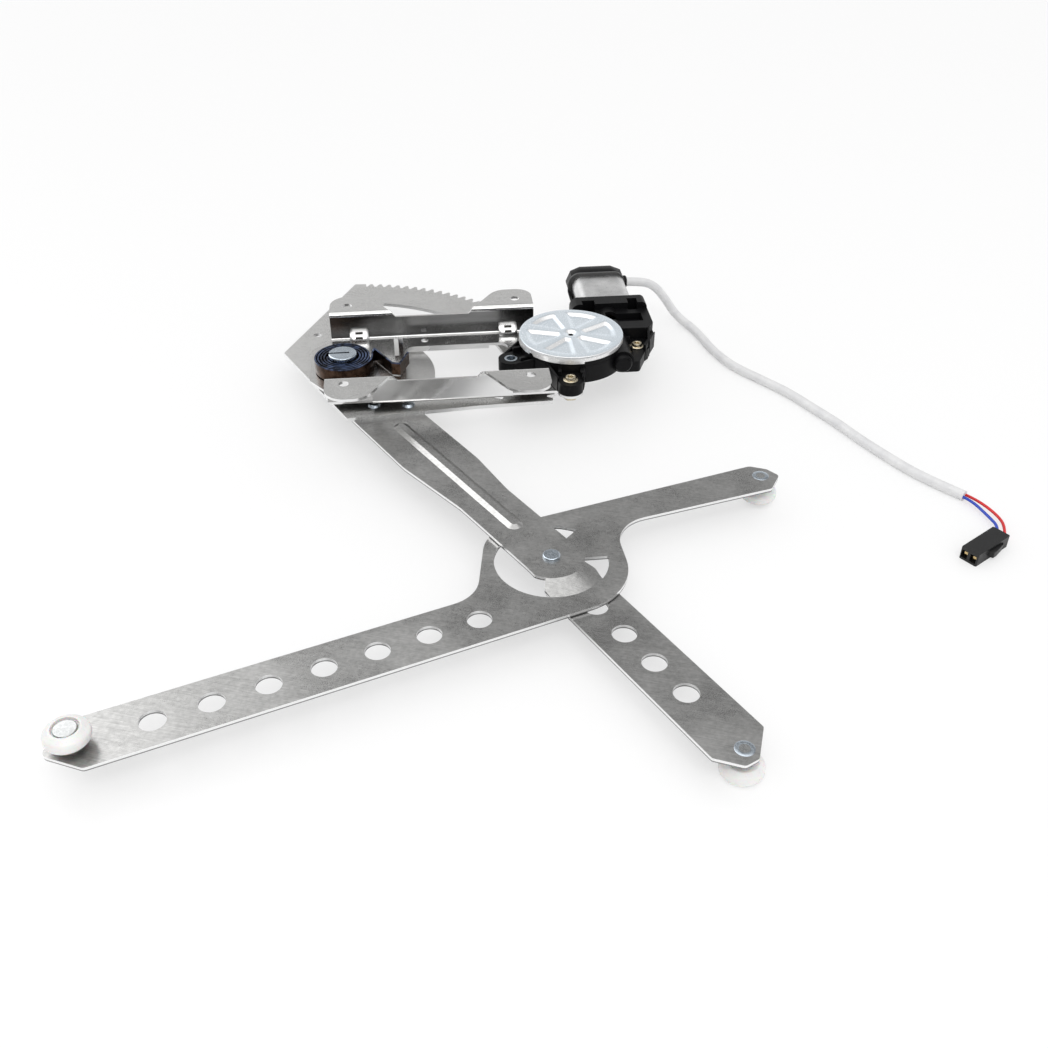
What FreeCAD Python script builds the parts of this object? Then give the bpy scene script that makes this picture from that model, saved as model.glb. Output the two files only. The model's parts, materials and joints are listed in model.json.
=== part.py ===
"""Power window regulator with crossed arms, lying with its door panel side up.

Frame: origin at the centre of the four bolt holes of the mounting bracket, on the face
that bolts to the door. X runs along the bracket from the main pivot to the motor, Z is up.
"""
import FreeCAD, Part
import math
import os
from types import SimpleNamespace
from FreeCAD import Placement, Rotation, Vector

os.makedirs("parts", exist_ok=True)
doc = FreeCAD.newDocument("window_regulator")

# Driving sizes in millimetres and degrees
SIZES = {
    # Mounting bracket
    "bolt_pitch_x": 120.0, "bolt_pitch_y": 112.0, "bolt_hole_radius": 3.3,
    "gauge": 1.8, "bend_radius": 1.5, "channel_depth": 20.0,
    "back_wall_y": 45.8, "front_wall_y": 48.0, "channel_end_x": 72.5,
    "ear_margin_back": 15.3, "ear_margin_front": 19.8, "ear_shoulder_x": 47.0,
    "ear_foot_x": 31.0, "ear_round": 14.0, "notch_depth": 4.5, "notch_slope": 5.0,
    "window_left_x": -20.5, "window_right_x": 52.0, "window_back_y": 27.5,
    "window_front_y": -38.0, "window_round": 7.0, "lip_height": 2.2,
    "tongue_reach": 13.0, "wing_left_x": 43.0, "wing_right_x": 49.0, "wing_height": 8.0,
    # Main pivot, sector and pinion
    "pivot_x": -62.75, "gear_module": 2.25, "sector_teeth": 128.0, "pinion_teeth": 12.0,
    "pressure_angle": 25.0, "backlash": 0.4, "sector_gauge": 2.5, "sector_gap": 3.4,
    "sector_start": -15.5, "teeth_end": 83.0, "sector_end": 88.0, "rim_width": 31.0,
    "hub_plate_radius": 62.0, "pinion_width": 4.6, "post_radius": 9.6, "neck_radius": 6.0,
    "sector_back_x": -43.65, "sector_back_y": 37.1, "sector_front_x": 2.75,
    "sector_front_y": -57.0, "sector_edge_x": 89.75, "sector_edge_y": -49.2,
    "sector_toe_x": 138.5, "sector_toe_y": -47.7, "spacer_radius": 12.0, "running_gap": 0.3, "bore_clearance": 0.05,
    # Clock spring
    "spring_inner_radius": 10.6, "spring_outer_radius": 19.8, "spring_turns": 4.0,
    "spring_strip": 1.1, "spring_height": 9.0,
    # Arms
    "arm_gauge": 2.3, "lift_angle": -60.8, "lift_length": 241.4, "lift_half_width": 16.6,
    "lift_root_half_width": 20.5, "lower_angle": -63.4, "lower_length": 161.9,
    "nose_radius": 19.0, "nose_run": 10.5, "bead_height": 1.6, "bead_half_width": 5.0,
    "bead_start": 72.0, "bead_end": 210.0,
    "cross_angle": 19.5, "row_offset": 28.5, "cross_half_width": 17.0,
    "left_reach": 261.0, "ring_window_radius": 32.0, "tongue_radius": 14.5,
    "tongue_half_angle": 28.0, "row_hole_radius": 6.75, "row_pitch": 28.0,
    "row_last": 55.9, "low_pitch": 25.4, "low_first": 43.0, "right_along": 152.6,
    "right_across": 19.7, "rivet_head_radius": 5.0, "pin_radius": 4.0,
    # Rollers
    "roller_radius": 11.0, "roller_width": 9.5, "stud_radius": 3.0, "collar_radius": 5.5,
    "collar_low": 5.0, "collar_high": 2.5,
    # Gear housing and motor
    "screw_circle": 45.0, "screw_radius": 2.9, "boss_radius": 8.5, "drum_radius": 35.5,
    "drum_top": -7.4, "cap_radius": 37.2, "cap_top": -0.5, "cap_sheet": 1.6,
    "worm_offset": 31.25, "worm_level": -12.0, "worm_radius": 4.9, "wheel_radius": 26.0,
    "wheel_width": 7.0, "shaft_radius": 5.0, "motor_width": 48.0, "motor_height": 27.0,
    "motor_start_y": 56.0, "can_length": 38.0, "end_cap_length": 19.0, "can_wall": 1.5,
    # Cable
    "sheath_radius": 3.3, "wire_radius": 0.9, "plug_length": 31.5, "plug_width": 11.5,
    "plug_height": 8.0,
}

sheet = doc.addObject("Spreadsheet::Sheet", "dims")
for row, (alias, value) in enumerate(SIZES.items(), start=1):
    sheet.set("A%d" % row, alias.replace("_", " "))
    sheet.set("B%d" % row, str(value))
    sheet.setAlias("B%d" % row, alias)
doc.recompute()
d = SimpleNamespace(**{alias: float(sheet.get(alias)) for alias in SIZES})

# Levels below the bolting face
floor_top = -d.channel_depth
floor_low = floor_top - d.gauge
sector_top = floor_low - d.sector_gap
sector_low = sector_top - d.sector_gauge
lift_low = sector_low - d.arm_gauge
cross_top = lift_low - d.running_gap
cross_low = cross_top - d.arm_gauge
lower_top = cross_low - d.running_gap
lower_low = lower_top - d.arm_gauge
ground = lower_low - d.collar_low - d.roller_width

# Plan positions
sector_pitch_radius = d.gear_module * d.sector_teeth / 2
pinion_pitch_radius = d.gear_module * d.pinion_teeth / 2
pivot = Vector(d.pivot_x, 0, 0)
gear = Vector(d.pivot_x + sector_pitch_radius + pinion_pitch_radius, 0, 0)
worm_x = gear.x + d.worm_offset


def polar(radius, degrees, centre=Vector()):
    """Point at a radius and angle about a centre, in plan."""
    angle = math.radians(degrees)
    return centre + Vector(radius * math.cos(angle), radius * math.sin(angle), 0)


cross_pin = polar(d.lift_length, d.lift_angle, pivot)
lower_end = polar(d.lower_length, d.lower_angle, cross_pin)
bolt_points = [Vector(sx * d.bolt_pitch_x / 2, sy * d.bolt_pitch_y / 2, 0)
               for sx in (-1, 1) for sy in (-1, 1)]
SCREW_ANGLES = (-99.0, -3.0, 194.0)
screw_points = [polar(d.screw_circle, angle, gear) for angle in SCREW_ANGLES]

nodes = []


def keep(item, name):
    """Name an object as a sub-part that is written out."""
    item.Label = name
    nodes.append(item)
    return item


def bind(item, **expressions):
    """Tie properties of an object to the sheet."""
    for path, expression in expressions.items():
        item.setExpression(path.replace("__", "."), expression)
    return item


def origin_plane(body, role):
    """One of the body's own origin planes."""
    return next(f for f in body.Origin.OriginFeatures if f.Role == role)


def rounded(points):
    """Edges of a closed outline: each point is x, y and the radius of its corner."""
    corners = []
    count = len(points)
    for i in range(count):
        here = Vector(points[i][0], points[i][1], 0)
        radius = points[i][2] if len(points[i]) > 2 else 0
        before = Vector(points[i - 1][0], points[i - 1][1], 0)
        after = Vector(points[(i + 1) % count][0], points[(i + 1) % count][1], 0)
        back = (before - here).normalize()
        ahead = (after - here).normalize()
        half = back.getAngle(ahead) / 2
        if radius <= 0 or math.degrees(half) > 89.5:
            corners.append((here, None, here))
            continue
        reach = radius / math.tan(half)
        start = here + back * reach
        end = here + ahead * reach
        middle_way = (back + ahead).normalize()
        centre = here + middle_way * (radius / math.sin(half))
        corners.append((start, centre - middle_way * radius, end))
    edges = []
    for i in range(count):
        start, middle, end = corners[i]
        if middle is not None:
            edges.append(Part.Arc(start, middle, end))
        following = corners[(i + 1) % count][0]
        if (following - end).Length > 1e-6:
            edges.append(Part.LineSegment(end, following))
    return edges


def circle(centre, radius):
    """A round hole or disc for a sketch."""
    return Part.Circle(Vector(centre.x, centre.y, 0), Vector(0, 0, 1), radius)


def plate(name, outline, top, gauge, holes=()):
    """A flat plate: a sketched outline with holes, padded down from its top level."""
    body = doc.addObject("PartDesign::Body", name + "_body")
    sketch = body.newObject("Sketcher::SketchObject", name + "_outline")
    sketch.AttachmentSupport = (origin_plane(body, "XY_Plane"), [""])
    sketch.MapMode = "FlatFace"
    sketch.addGeometry(list(outline) + list(holes), False)
    doc.recompute()
    pad = body.newObject("PartDesign::Pad", name + "_pad")
    pad.Profile = sketch
    pad.Reversed = True
    pad.setExpression("Length", gauge) if isinstance(gauge, str) else setattr(pad, "Length", gauge)
    body.Placement = Placement(Vector(0, 0, top), Rotation())
    doc.recompute()
    return body


def turned(name, profile, centre, axis="Z"):
    """A turned piece: a half section of radius and height points, revolved about its axis."""
    body = doc.addObject("PartDesign::Body", name + "_body")
    sketch = body.newObject("Sketcher::SketchObject", name + "_section")
    sketch.AttachmentSupport = (origin_plane(body, "XZ_Plane"), [""])
    sketch.MapMode = "FlatFace"
    sketch.addGeometry(rounded(profile), False)
    doc.recompute()
    turn = body.newObject("PartDesign::Revolution", name + "_turn")
    turn.Profile = sketch
    turn.ReferenceAxis = (sketch, ["V_Axis"])
    turn.Angle = 360
    tilt = Rotation() if axis == "Z" else Rotation(Vector(1, 0, 0), -90)
    body.Placement = Placement(centre, tilt)
    doc.recompute()
    return body


def cylinder(name, radius, height, centre, along=Vector(0, 0, 1)):
    """A round bar whose radius and height are sheet expressions or plain numbers."""
    item = doc.addObject("Part::Cylinder", name)
    for prop, value in (("Radius", radius), ("Height", height)):
        if isinstance(value, str):
            item.setExpression(prop, value)
        else:
            setattr(item, prop, value)
    item.Placement = Placement(centre, Rotation(Vector(0, 0, 1), along))
    return item


def box(name, low, high):
    """A block between two corners."""
    item = doc.addObject("Part::Box", name)
    item.Length, item.Width, item.Height = high.x - low.x, high.y - low.y, high.z - low.z
    item.Placement = Placement(low, Rotation())
    return item


def prism(name, outline, base, along):
    """A solid from a closed outline of edges, moved to a place and swept along a vector."""
    item = doc.addObject("Part::Feature", name)
    wire = Part.Wire([edge.toShape() for edge in outline])
    face = Part.Face(wire)
    face.Placement = base
    item.Shape = face.extrude(along)
    return item


def fuse(name, pieces):
    """Join pieces into one."""
    item = doc.addObject("Part::MultiFuse", name)
    item.Shapes = pieces
    item.Refine = True
    return item


def cut(name, base, tools):
    """Cut tools from a base, checking that they take something away."""
    tool = tools[0]
    if len(tools) > 1:
        tool = fuse(name + "_tools", tools)
    item = doc.addObject("Part::Cut", name)
    item.Base = base
    item.Tool = tool
    doc.recompute()
    if item.Shape.Volume >= base.Shape.Volume - 1e-6:
        raise RuntimeError(name + ": the cut takes nothing away")
    return item


def common(name, first, second):
    """What two solids share."""
    item = doc.addObject("Part::MultiCommon", name)
    item.Shapes = [first, second]
    return item


def group(name, pieces):
    """Several separate solids kept as one node."""
    item = doc.addObject("Part::Compound", name)
    item.Links = pieces
    return item


# Mounting bracket: a hat section folded from sheet
def make_bracket():
    inner, outer = d.bend_radius, d.bend_radius + d.gauge
    ear_reach = d.bolt_pitch_y / 2 + d.ear_margin_front + 5
    back_in, front_in = d.back_wall_y - d.gauge, -(d.front_wall_y - d.gauge)
    section = rounded([
        (ear_reach, -d.gauge), (ear_reach, 0), (back_in, 0, outer), (back_in, floor_top, inner),
        (front_in, floor_top, inner), (front_in, 0, outer), (-ear_reach, 0),
        (-ear_reach, -d.gauge), (-d.front_wall_y, -d.gauge, inner),
        (-d.front_wall_y, floor_low, outer), (d.back_wall_y, floor_low, outer),
        (d.back_wall_y, -d.gauge, inner)])
    upright = Placement(Vector(-d.channel_end_x, 0, 0),
                        Rotation(Vector(0, 1, 0), Vector(0, 0, 1), Vector(1, 0, 0), "XYZ"))
    hat = prism("hat_section", section, upright, Vector(2 * d.channel_end_x, 0, 0))
    back = d.bolt_pitch_y / 2 + d.ear_margin_back
    front = -(d.bolt_pitch_y / 2 + d.ear_margin_front)
    end, shoulder, foot, turn = d.channel_end_x, d.ear_shoulder_x, d.ear_foot_x, d.ear_round
    plan = rounded([
        (-end, front, turn), (-shoulder, front, turn), (-foot, -d.front_wall_y - 1, 1),
        (foot, -d.front_wall_y - 1, 1), (shoulder, front, turn), (end, front, turn - 3),
        (end, back, turn - 3), (shoulder, back, turn), (foot, d.back_wall_y + 1, 1),
        (-foot, d.back_wall_y + 1, 1), (-shoulder, back, turn), (-end, back, turn)])
    plan = prism("plan_shape", plan, Placement(Vector(0, 0, 1), Rotation()),
                 Vector(0, 0, floor_low - 2))
    folded = common("folded_sheet", hat, plan)
    # Floor that reaches past the walls: the tongue round the pivot and the gear plate
    tongue_x = d.pivot_x - d.spring_outer_radius - 3
    tongue = plate("tongue", rounded([
        (-end + 1, d.back_wall_y - 4, 2), (tongue_x, d.back_wall_y - 16, 4), (tongue_x, -14, 4),
        (-d.wing_left_x - 20, -d.front_wall_y + 4, 3), (-d.wing_left_x, -d.front_wall_y + 4, 0),
        (-d.wing_left_x, d.back_wall_y - 4, 0)]), floor_top, "dims.gauge")
    gear_disc = cylinder("gear_plate", d.drum_radius - 1.5, "dims.gauge",
                         Vector(gear.x, gear.y, floor_low))
    gear_neck = box("gear_plate_neck", Vector(wing_x(), -d.front_wall_y + 4, floor_low),
                    Vector(gear.x - 8, d.back_wall_y - 4, floor_top))
    return folded, tongue, gear_disc, gear_neck


def wing_x():
    """Start of the flat gear plate between the walls."""
    return d.window_right_x + 4


def make_bracket_node():
    folded, tongue, gear_disc, gear_neck = make_bracket()
    notch = rounded([(-d.ear_foot_x - 0.6, 2), (-d.ear_foot_x + d.notch_slope, -d.notch_depth, 1),
                     (d.ear_foot_x - d.notch_slope, -d.notch_depth, 1), (d.ear_foot_x + 0.6, 2)])
    across = Placement(Vector(0, -90, 0), Rotation(Vector(1, 0, 0), Vector(0, 0, 1), Vector(), "XZY"))
    notch = prism("wall_notch", notch, across, Vector(0, 180, 0))
    corner_low = Vector(0, -d.front_wall_y - 2, floor_low - 1)
    corner_high = Vector(0, -d.front_wall_y + 4, floor_low + d.wing_height)
    wing_left = box("wing_left", Vector(-90, corner_low.y, corner_low.z),
                    Vector(-d.wing_left_x, corner_high.y, corner_high.z))
    wing_right = box("wing_right", Vector(d.wing_right_x, corner_low.y, corner_low.z),
                     Vector(90, corner_high.y, corner_high.z))
    opening = prism("floor_window", rounded([
        (d.window_left_x, d.window_front_y, d.window_round),
        (d.window_right_x, d.window_front_y, d.window_round),
        (d.window_right_x, d.window_back_y, d.window_round),
        (d.window_left_x, d.window_back_y, d.window_round)]),
        Placement(Vector(0, 0, floor_top + 0.5), Rotation()), Vector(0, 0, -d.gauge - 1))
    shell = cut("bracket_shell", folded, [notch, wing_left, wing_right])
    base = fuse("bracket_base", [shell, tongue, gear_disc, gear_neck])
    doc.recompute()
    base = cut("bracket_open", base, [opening])
    lobes = []
    for i, point in enumerate(screw_points):
        lobes.append(cylinder("lobe_%d" % i, "dims.boss_radius", "dims.gauge",
                              Vector(point.x, point.y, floor_low)))
        side = (point - gear).normalize()
        normal = Vector(-side.y, side.x, 0) * d.boss_radius
        inner = gear + side * 20
        lobes.append(prism("arm_%d" % i, rounded([
            (inner.x + normal.x, inner.y + normal.y), (inner.x - normal.x, inner.y - normal.y),
            (point.x - normal.x, point.y - normal.y), (point.x + normal.x, point.y + normal.y)]),
            Placement(Vector(0, 0, floor_low), Rotation()), Vector(0, 0, d.gauge)))
    lip = box("window_lip", Vector(d.window_left_x + 1, d.window_back_y, floor_low - d.lip_height),
              Vector(d.window_right_x - 13, d.window_back_y + d.gauge, floor_low + d.gauge / 2))
    tab = box("spring_tab", Vector(-27.5, 4, floor_low), Vector(-21.5, 4 + d.gauge, -1.0))
    tab_foot = box("spring_tab_foot", Vector(-27.5, 4 - 3, floor_low),
                   Vector(d.window_left_x + 0.5, 4 + d.gauge + 3, floor_top))
    gussets = []
    for i, x in enumerate((-52.5, 53.5)):
        wedge = rounded([(d.back_wall_y - 0.6, floor_top - 0.6), (d.back_wall_y - 0.6, floor_top + 7, 1),
                         (d.back_wall_y - 9, floor_top - 0.6, 1)])
        side_on = Placement(Vector(x - 6, 0, 0),
                            Rotation(Vector(0, 1, 0), Vector(0, 0, 1), Vector(1, 0, 0), "XYZ"))
        gussets.append(prism("gusset_%d" % i, wedge, side_on, Vector(12, 0, 0)))
    whole = fuse("bracket_whole", [base, lip, tab, tab_foot] + lobes + gussets)
    doc.recompute()
    tools = []
    for i, point in enumerate(bolt_points):
        tools.append(cylinder("bolt_hole_%d" % i, "dims.bolt_hole_radius", 6,
                              Vector(point.x, point.y, -4)))
    for i, point in enumerate(screw_points):
        tools.append(cylinder("screw_hole_%d" % i, d.screw_radius + 0.2, 6,
                              Vector(point.x, point.y, floor_low - 2)))
    tools.append(cylinder("pivot_hole", "dims.neck_radius + dims.bore_clearance", 8,
                          Vector(pivot.x, pivot.y, floor_low - 3)))
    tools.append(cylinder("pinion_hole", "dims.shaft_radius + 7", 8,
                          Vector(gear.x, gear.y, floor_low - 3)))
    tools.append(cylinder("floor_hole", 2.6, 6, Vector(-6.4, d.window_back_y + 8.5, floor_low - 2)))
    for i, x in enumerate((-52.5, 53.5)):
        tools.append(box("gusset_slot_%d" % i, Vector(x - 3.5, d.back_wall_y - 8, floor_top + 2.2),
                         Vector(x + 3.5, d.back_wall_y - d.gauge - 0.8, floor_top + 3.6)))
    return keep(cut("mounting_bracket_cut", whole, tools), "mounting_bracket")


# Involute flank points of a gear, from the root to the tip of the right hand side of a tooth
def tooth_points(teeth, root, tip, centre_angle, clockwise_first=True):
    pitch = d.gear_module * teeth / 2
    base = pitch * math.cos(math.radians(d.pressure_angle))
    thickness = (math.pi * d.gear_module / 2 - d.backlash / 2) / pitch

    def involute(radius):
        ratio = max(radius, base) / base
        roll = math.sqrt(ratio * ratio - 1)
        return roll - math.atan(roll)

    half = thickness / 2 + involute(pitch)
    steps = [root, max(root, base), pitch, (pitch + tip) / 2, tip]
    side = [(radius, half - involute(radius)) for radius in steps]
    angles = [(radius, centre_angle - math.degrees(turn)) for radius, turn in side]
    angles += [(radius, centre_angle + math.degrees(turn)) for radius, turn in reversed(side)]
    clean = [angles[0]]
    for item in angles[1:]:
        if abs(item[0] - clean[-1][0]) > 1e-6 or abs(item[1] - clean[-1][1]) > 1e-6:
            clean.append(item)
    return clean


sector_tip = sector_pitch_radius + 0.8 * d.gear_module
sector_root = sector_pitch_radius - 1.15 * d.gear_module
TOOTH_PITCH = 360 / d.sector_teeth


def closed_lines(points):
    """Straight edges through points, closed."""
    return [Part.LineSegment(points[i], points[(i + 1) % len(points)]) for i in range(len(points))]


def make_sector():
    # A tooth gap lies on the line of centres at rest, where a pinion tooth points at the pivot
    first = math.ceil((d.sector_start - TOOTH_PITCH / 2) / TOOTH_PITCH)
    last = math.floor((d.teeth_end - TOOTH_PITCH / 2) / TOOTH_PITCH)
    points = []
    for number in range(first, last + 1):
        angle = (number + 0.5) * TOOTH_PITCH
        for radius, turn in tooth_points(d.sector_teeth, sector_root, sector_tip, angle):
            points.append(polar(radius, turn, pivot))
    rim_end = [polar(sector_tip, angle, pivot)
               for angle in (d.teeth_end + 1.7, (d.teeth_end + d.sector_end) / 2, d.sector_end)]
    points += [polar(sector_root, d.teeth_end + 1.4, pivot)] + rim_end
    points += [pivot + Vector(x, y, 0) for x, y in (
        (d.sector_back_x, d.sector_back_y), (d.sector_front_x, d.sector_front_y),
        (d.sector_edge_x, d.sector_edge_y), (d.sector_toe_x, d.sector_toe_y))]
    points += [polar(sector_tip, d.sector_start - 2.2, pivot),
               polar(sector_root, d.sector_start - 1.9, pivot)]
    inner, outer = d.hub_plate_radius, sector_root - d.rim_width + 3
    low, high = -22.0, 76.0
    gap = [Part.Arc(polar(outer, low, pivot), polar(outer, (low + high) / 2, pivot),
                    polar(outer, high, pivot)),
           Part.LineSegment(polar(outer, high, pivot), polar(inner, high - 6, pivot)),
           Part.Arc(polar(inner, high - 6, pivot), polar(inner, (low + high) / 2, pivot),
                    polar(inner, low + 3, pivot)),
           Part.LineSegment(polar(inner, low + 3, pivot), polar(outer, low, pivot))]
    holes = [circle(pivot, d.neck_radius - 1 + d.bore_clearance),
             circle(Vector(-83.5, 62.4, 0), 3.0)]
    for point in sector_rivets():
        holes.append(circle(point, 2.5))
    return keep(plate("sector", closed_lines(points), sector_top, "dims.sector_gauge",
                      gap + holes), "sector_gear")


def sector_rivets():
    """Where the sector is riveted to the lift arm."""
    return [polar(d.hub_plate_radius * 0.75, d.lift_angle - 3.5, pivot),
            polar(d.hub_plate_radius * 0.985, d.lift_angle + 15.3, pivot)]


def make_lift_arm():
    turn = Placement(pivot, Rotation(Vector(0, 0, 1), d.lift_angle))
    wide, slim, length = d.lift_root_half_width, d.lift_half_width, d.lift_length
    upper = plate("lift_upper", rounded([
        (-wide, -wide, wide - 1), (length * 0.49, -wide - 2, 30), (length * 0.72, -slim, 60),
        (length, -slim), (length, slim), (length * 0.72, slim, 60), (length * 0.56, wide, 40),
        (-wide, wide, wide - 1)]), 0, "dims.arm_gauge",
        [circle(Vector(), d.neck_radius - 1 + d.bore_clearance)])
    upper.Placement = Placement(Vector(0, 0, sector_low), Rotation()).multiply(turn)
    lower_turn = Placement(cross_pin, Rotation(Vector(0, 0, 1), d.lower_angle))
    reach, end = d.lower_length, d.lower_length + 8.5
    outer = d.nose_radius + d.nose_run
    holes = [circle(Vector(d.low_first + i * d.low_pitch, 0, 0), d.row_hole_radius) for i in range(4)]
    lower = plate("lift_lower", rounded([
        (outer - 1, -slim), (end - 12, -slim, 2), (end, -slim + 10, 3), (end, slim - 15, 3),
        (end - 14, slim, 2), (outer - 1, slim)]), 0, "dims.arm_gauge", holes)
    lower.Placement = Placement(Vector(0, 0, lower_top), Rotation()).multiply(lower_turn)
    # The nose: a sloped wall round the cross pin that drops through the ring
    drop = sector_low - lower_top
    nose = turned("nose", [
        (d.nose_radius - 4, sector_low), (d.nose_radius, sector_low), (outer, lower_top),
        (outer + 4, lower_top), (outer + 4, lower_low), (outer - 1.2, lower_low),
        (d.nose_radius - 1.2, lift_low), (d.nose_radius - 4, lift_low)],
        Vector(cross_pin.x, cross_pin.y, 0))
    strip = prism("nose_strip", rounded([(4, -5.2), (slim + 2, -slim), (outer + 3, -slim),
                                         (outer + 3, slim), (slim + 2, slim), (4, 5.2)]),
                  Placement(Vector(0, 0, lower_low - 1), Rotation()), Vector(0, 0, drop + 8))
    strip.Placement = lower_turn
    nose_cut = common("nose_part", nose, strip)
    bed = cylinder("nose_round", d.nose_radius - 0.3, "dims.arm_gauge",
                   Vector(cross_pin.x, cross_pin.y, lift_low))
    reach_strip = prism("reach_strip", rounded([(-60, -slim), (60, -slim), (60, slim), (-60, slim)]),
                        Placement(Vector(0, 0, lift_low - 1), Rotation()), Vector(0, 0, 6))
    reach_strip.Placement = Placement(cross_pin, Rotation(Vector(0, 0, 1), d.lower_angle))
    nose_bed = common("nose_bed", bed, reach_strip)
    # The bead pressed up along the arm
    bead = prism("bead", rounded([
        (d.bead_start, -d.bead_half_width, 4.9), (d.bead_end, -d.bead_half_width, 4.9),
        (d.bead_end, d.bead_half_width, 4.9), (d.bead_start, d.bead_half_width, 4.9)]),
        Placement(Vector(0, 0, sector_low - 0.5), Rotation()), Vector(0, 0, d.bead_height + 0.5))
    bead.Placement = turn
    arm = fuse("lift_arm_whole", [upper, lower, nose_cut, nose_bed, bead])
    doc.recompute()
    pin = cylinder("pin_hole", "dims.pin_radius + dims.bore_clearance", 10,
                   Vector(cross_pin.x, cross_pin.y, lift_low - 4))
    end_pin = cylinder("low_stud_hole", "dims.stud_radius", 8,
                       Vector(lower_end.x, lower_end.y, lower_low - 2))
    rivets = [cylinder("lift_rivet_hole_%d" % i, 2.5, 8, Vector(p.x, p.y, lift_low - 3))
              for i, p in enumerate(sector_rivets())]
    return keep(cut("lift_arm_cut", arm, [pin, end_pin] + rivets), "lift_arm")


def cross_point(along, across):
    """A point of the cross arm, from the pin along and across its left part."""
    angle = math.radians(d.cross_angle)
    return Vector(cross_pin.x + along * math.cos(angle) - across * math.sin(angle),
                  cross_pin.y + along * math.sin(angle) + across * math.cos(angle), 0)


left_end = cross_point(-d.left_reach, -d.row_offset)
right_end = cross_point(d.right_along, d.right_across)


def make_cross_arm():
    low = -d.row_offset - d.cross_half_width + 0.5
    high = -d.row_offset + d.cross_half_width
    tip = -d.left_reach - 14
    outline = rounded([
        (tip + d.cross_half_width, low, 3), (30, low, 38), (47, 14.5, 24), (151, 5.3, 3),
        (163, 15, 3), (160, 24, 3), (152, 31.3, 4), (-22, 40.5, 28), (-50, high, 22),
        (tip + d.cross_half_width, high, 3), (tip, -d.row_offset, 4)])
    outer, inner, half = d.ring_window_radius, d.tongue_radius, d.tongue_half_angle
    axis = 8.5
    start, end = axis + half, axis - half + 1
    across = (start + end) / 2 + 180
    window = [Part.Arc(polar(outer, start), polar(outer, across), polar(outer, end)),
              Part.LineSegment(polar(outer, end), polar(inner, end)),
              Part.Arc(polar(inner, end), polar(inner, across), polar(inner, start + 10)),
              Part.LineSegment(polar(inner, start + 10), polar(outer, start))]
    holes = [circle(Vector(-d.row_last - i * d.row_pitch, -d.row_offset, 0), d.row_hole_radius)
             for i in range(7)]
    holes.append(circle(Vector(), d.pin_radius + d.bore_clearance))
    holes.append(circle(Vector(-d.left_reach, -d.row_offset, 0), d.stud_radius))
    holes.append(circle(Vector(d.right_along, d.right_across, 0), d.stud_radius))
    arm = plate("cross", outline, 0, "dims.arm_gauge", window + holes)
    arm.Placement = Placement(Vector(cross_pin.x, cross_pin.y, cross_top),
                              Rotation(Vector(0, 0, 1), d.cross_angle))
    return keep(arm, "cross_arm")


# Main pivot post with its slot, the spacer, and the rivets
def make_pivot():
    head_top = floor_top + d.spring_height + 3.5
    neck = d.neck_radius - d.bore_clearance
    foot = d.neck_radius - 1
    post = turned("post", [
        (0, head_top), (d.post_radius, head_top, 1), (d.post_radius, floor_top + d.running_gap),
        (neck, floor_top + d.running_gap), (neck, floor_low - d.running_gap),
        (d.spacer_radius, floor_low - d.running_gap), (d.spacer_radius, sector_top),
        (foot, sector_top), (foot, lift_low), (8, lift_low), (8, lift_low - 1.5, 1),
        (0, lift_low - 1.5)], pivot)
    slot = box("post_slot", Vector(pivot.x - d.post_radius - 1, -0.8, floor_top + 0.5),
               Vector(pivot.x + d.post_radius - 5, 0.8, head_top + 1))
    keep(cut("pivot_post_cut", post, [slot]), "pivot_post")
    rivets = []
    for i, point in enumerate(sector_rivets()):
        rivets.append(turned("sector_rivet_%d" % i, [
            (0, sector_top + 1.6), (3.0, sector_top + 1.6, 1), (4.2, sector_top), (2.5, sector_top),
            (2.5, lift_low), (0, lift_low)], point))
    keep(group("sector_rivet_group", rivets), "sector_rivets")
    keep(turned("cross_pin", [
        (0, sector_low + 1.6), (d.rivet_head_radius, sector_low + 1.6, 0.8),
        (d.rivet_head_radius, sector_low), (d.pin_radius, sector_low),
        (d.pin_radius, lower_top), (7, lower_top), (7, lower_top - 1.6, 0.6),
        (0, lower_top - 1.6)], cross_pin), "cross_pin")


def make_clock_spring():
    """A flat strip wound on edge, its tail bent round the tab of the bracket."""
    base_z = floor_top + 0.8
    steps = 12
    count = int(steps * d.spring_turns)
    middle = []
    for i in range(count + 1):
        share = i / count
        radius = d.spring_inner_radius + (d.spring_outer_radius - d.spring_inner_radius) * share
        middle.append(polar(radius, 180 + 360 * d.spring_turns * share + 188 * share, pivot))
    tail = [Vector(-41.5, 9.5, 0), Vector(-29.5, -12.0, 0), Vector(-24.5, -13.5, 0),
            Vector(-18.5, 2.0, 0)]
    strip = offset_strip(middle, d.spring_strip / 2)
    coil = prism("spring_coil", strip, Placement(Vector(0, 0, base_z), Rotation()),
                 Vector(0, 0, d.spring_height))
    tang = box("spring_tang", Vector(pivot.x - d.spring_inner_radius - 0.3, -0.55, base_z),
               Vector(pivot.x - 4.0, 0.55, base_z + d.spring_height))
    leg = prism("spring_leg", line_strip([middle[-1]] + tail, d.spring_strip / 2),
                Placement(Vector(0, 0, base_z), Rotation()), Vector(0, 0, d.spring_height))
    return keep(fuse("clock_spring_whole", [coil, tang, leg]), "clock_spring")


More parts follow.
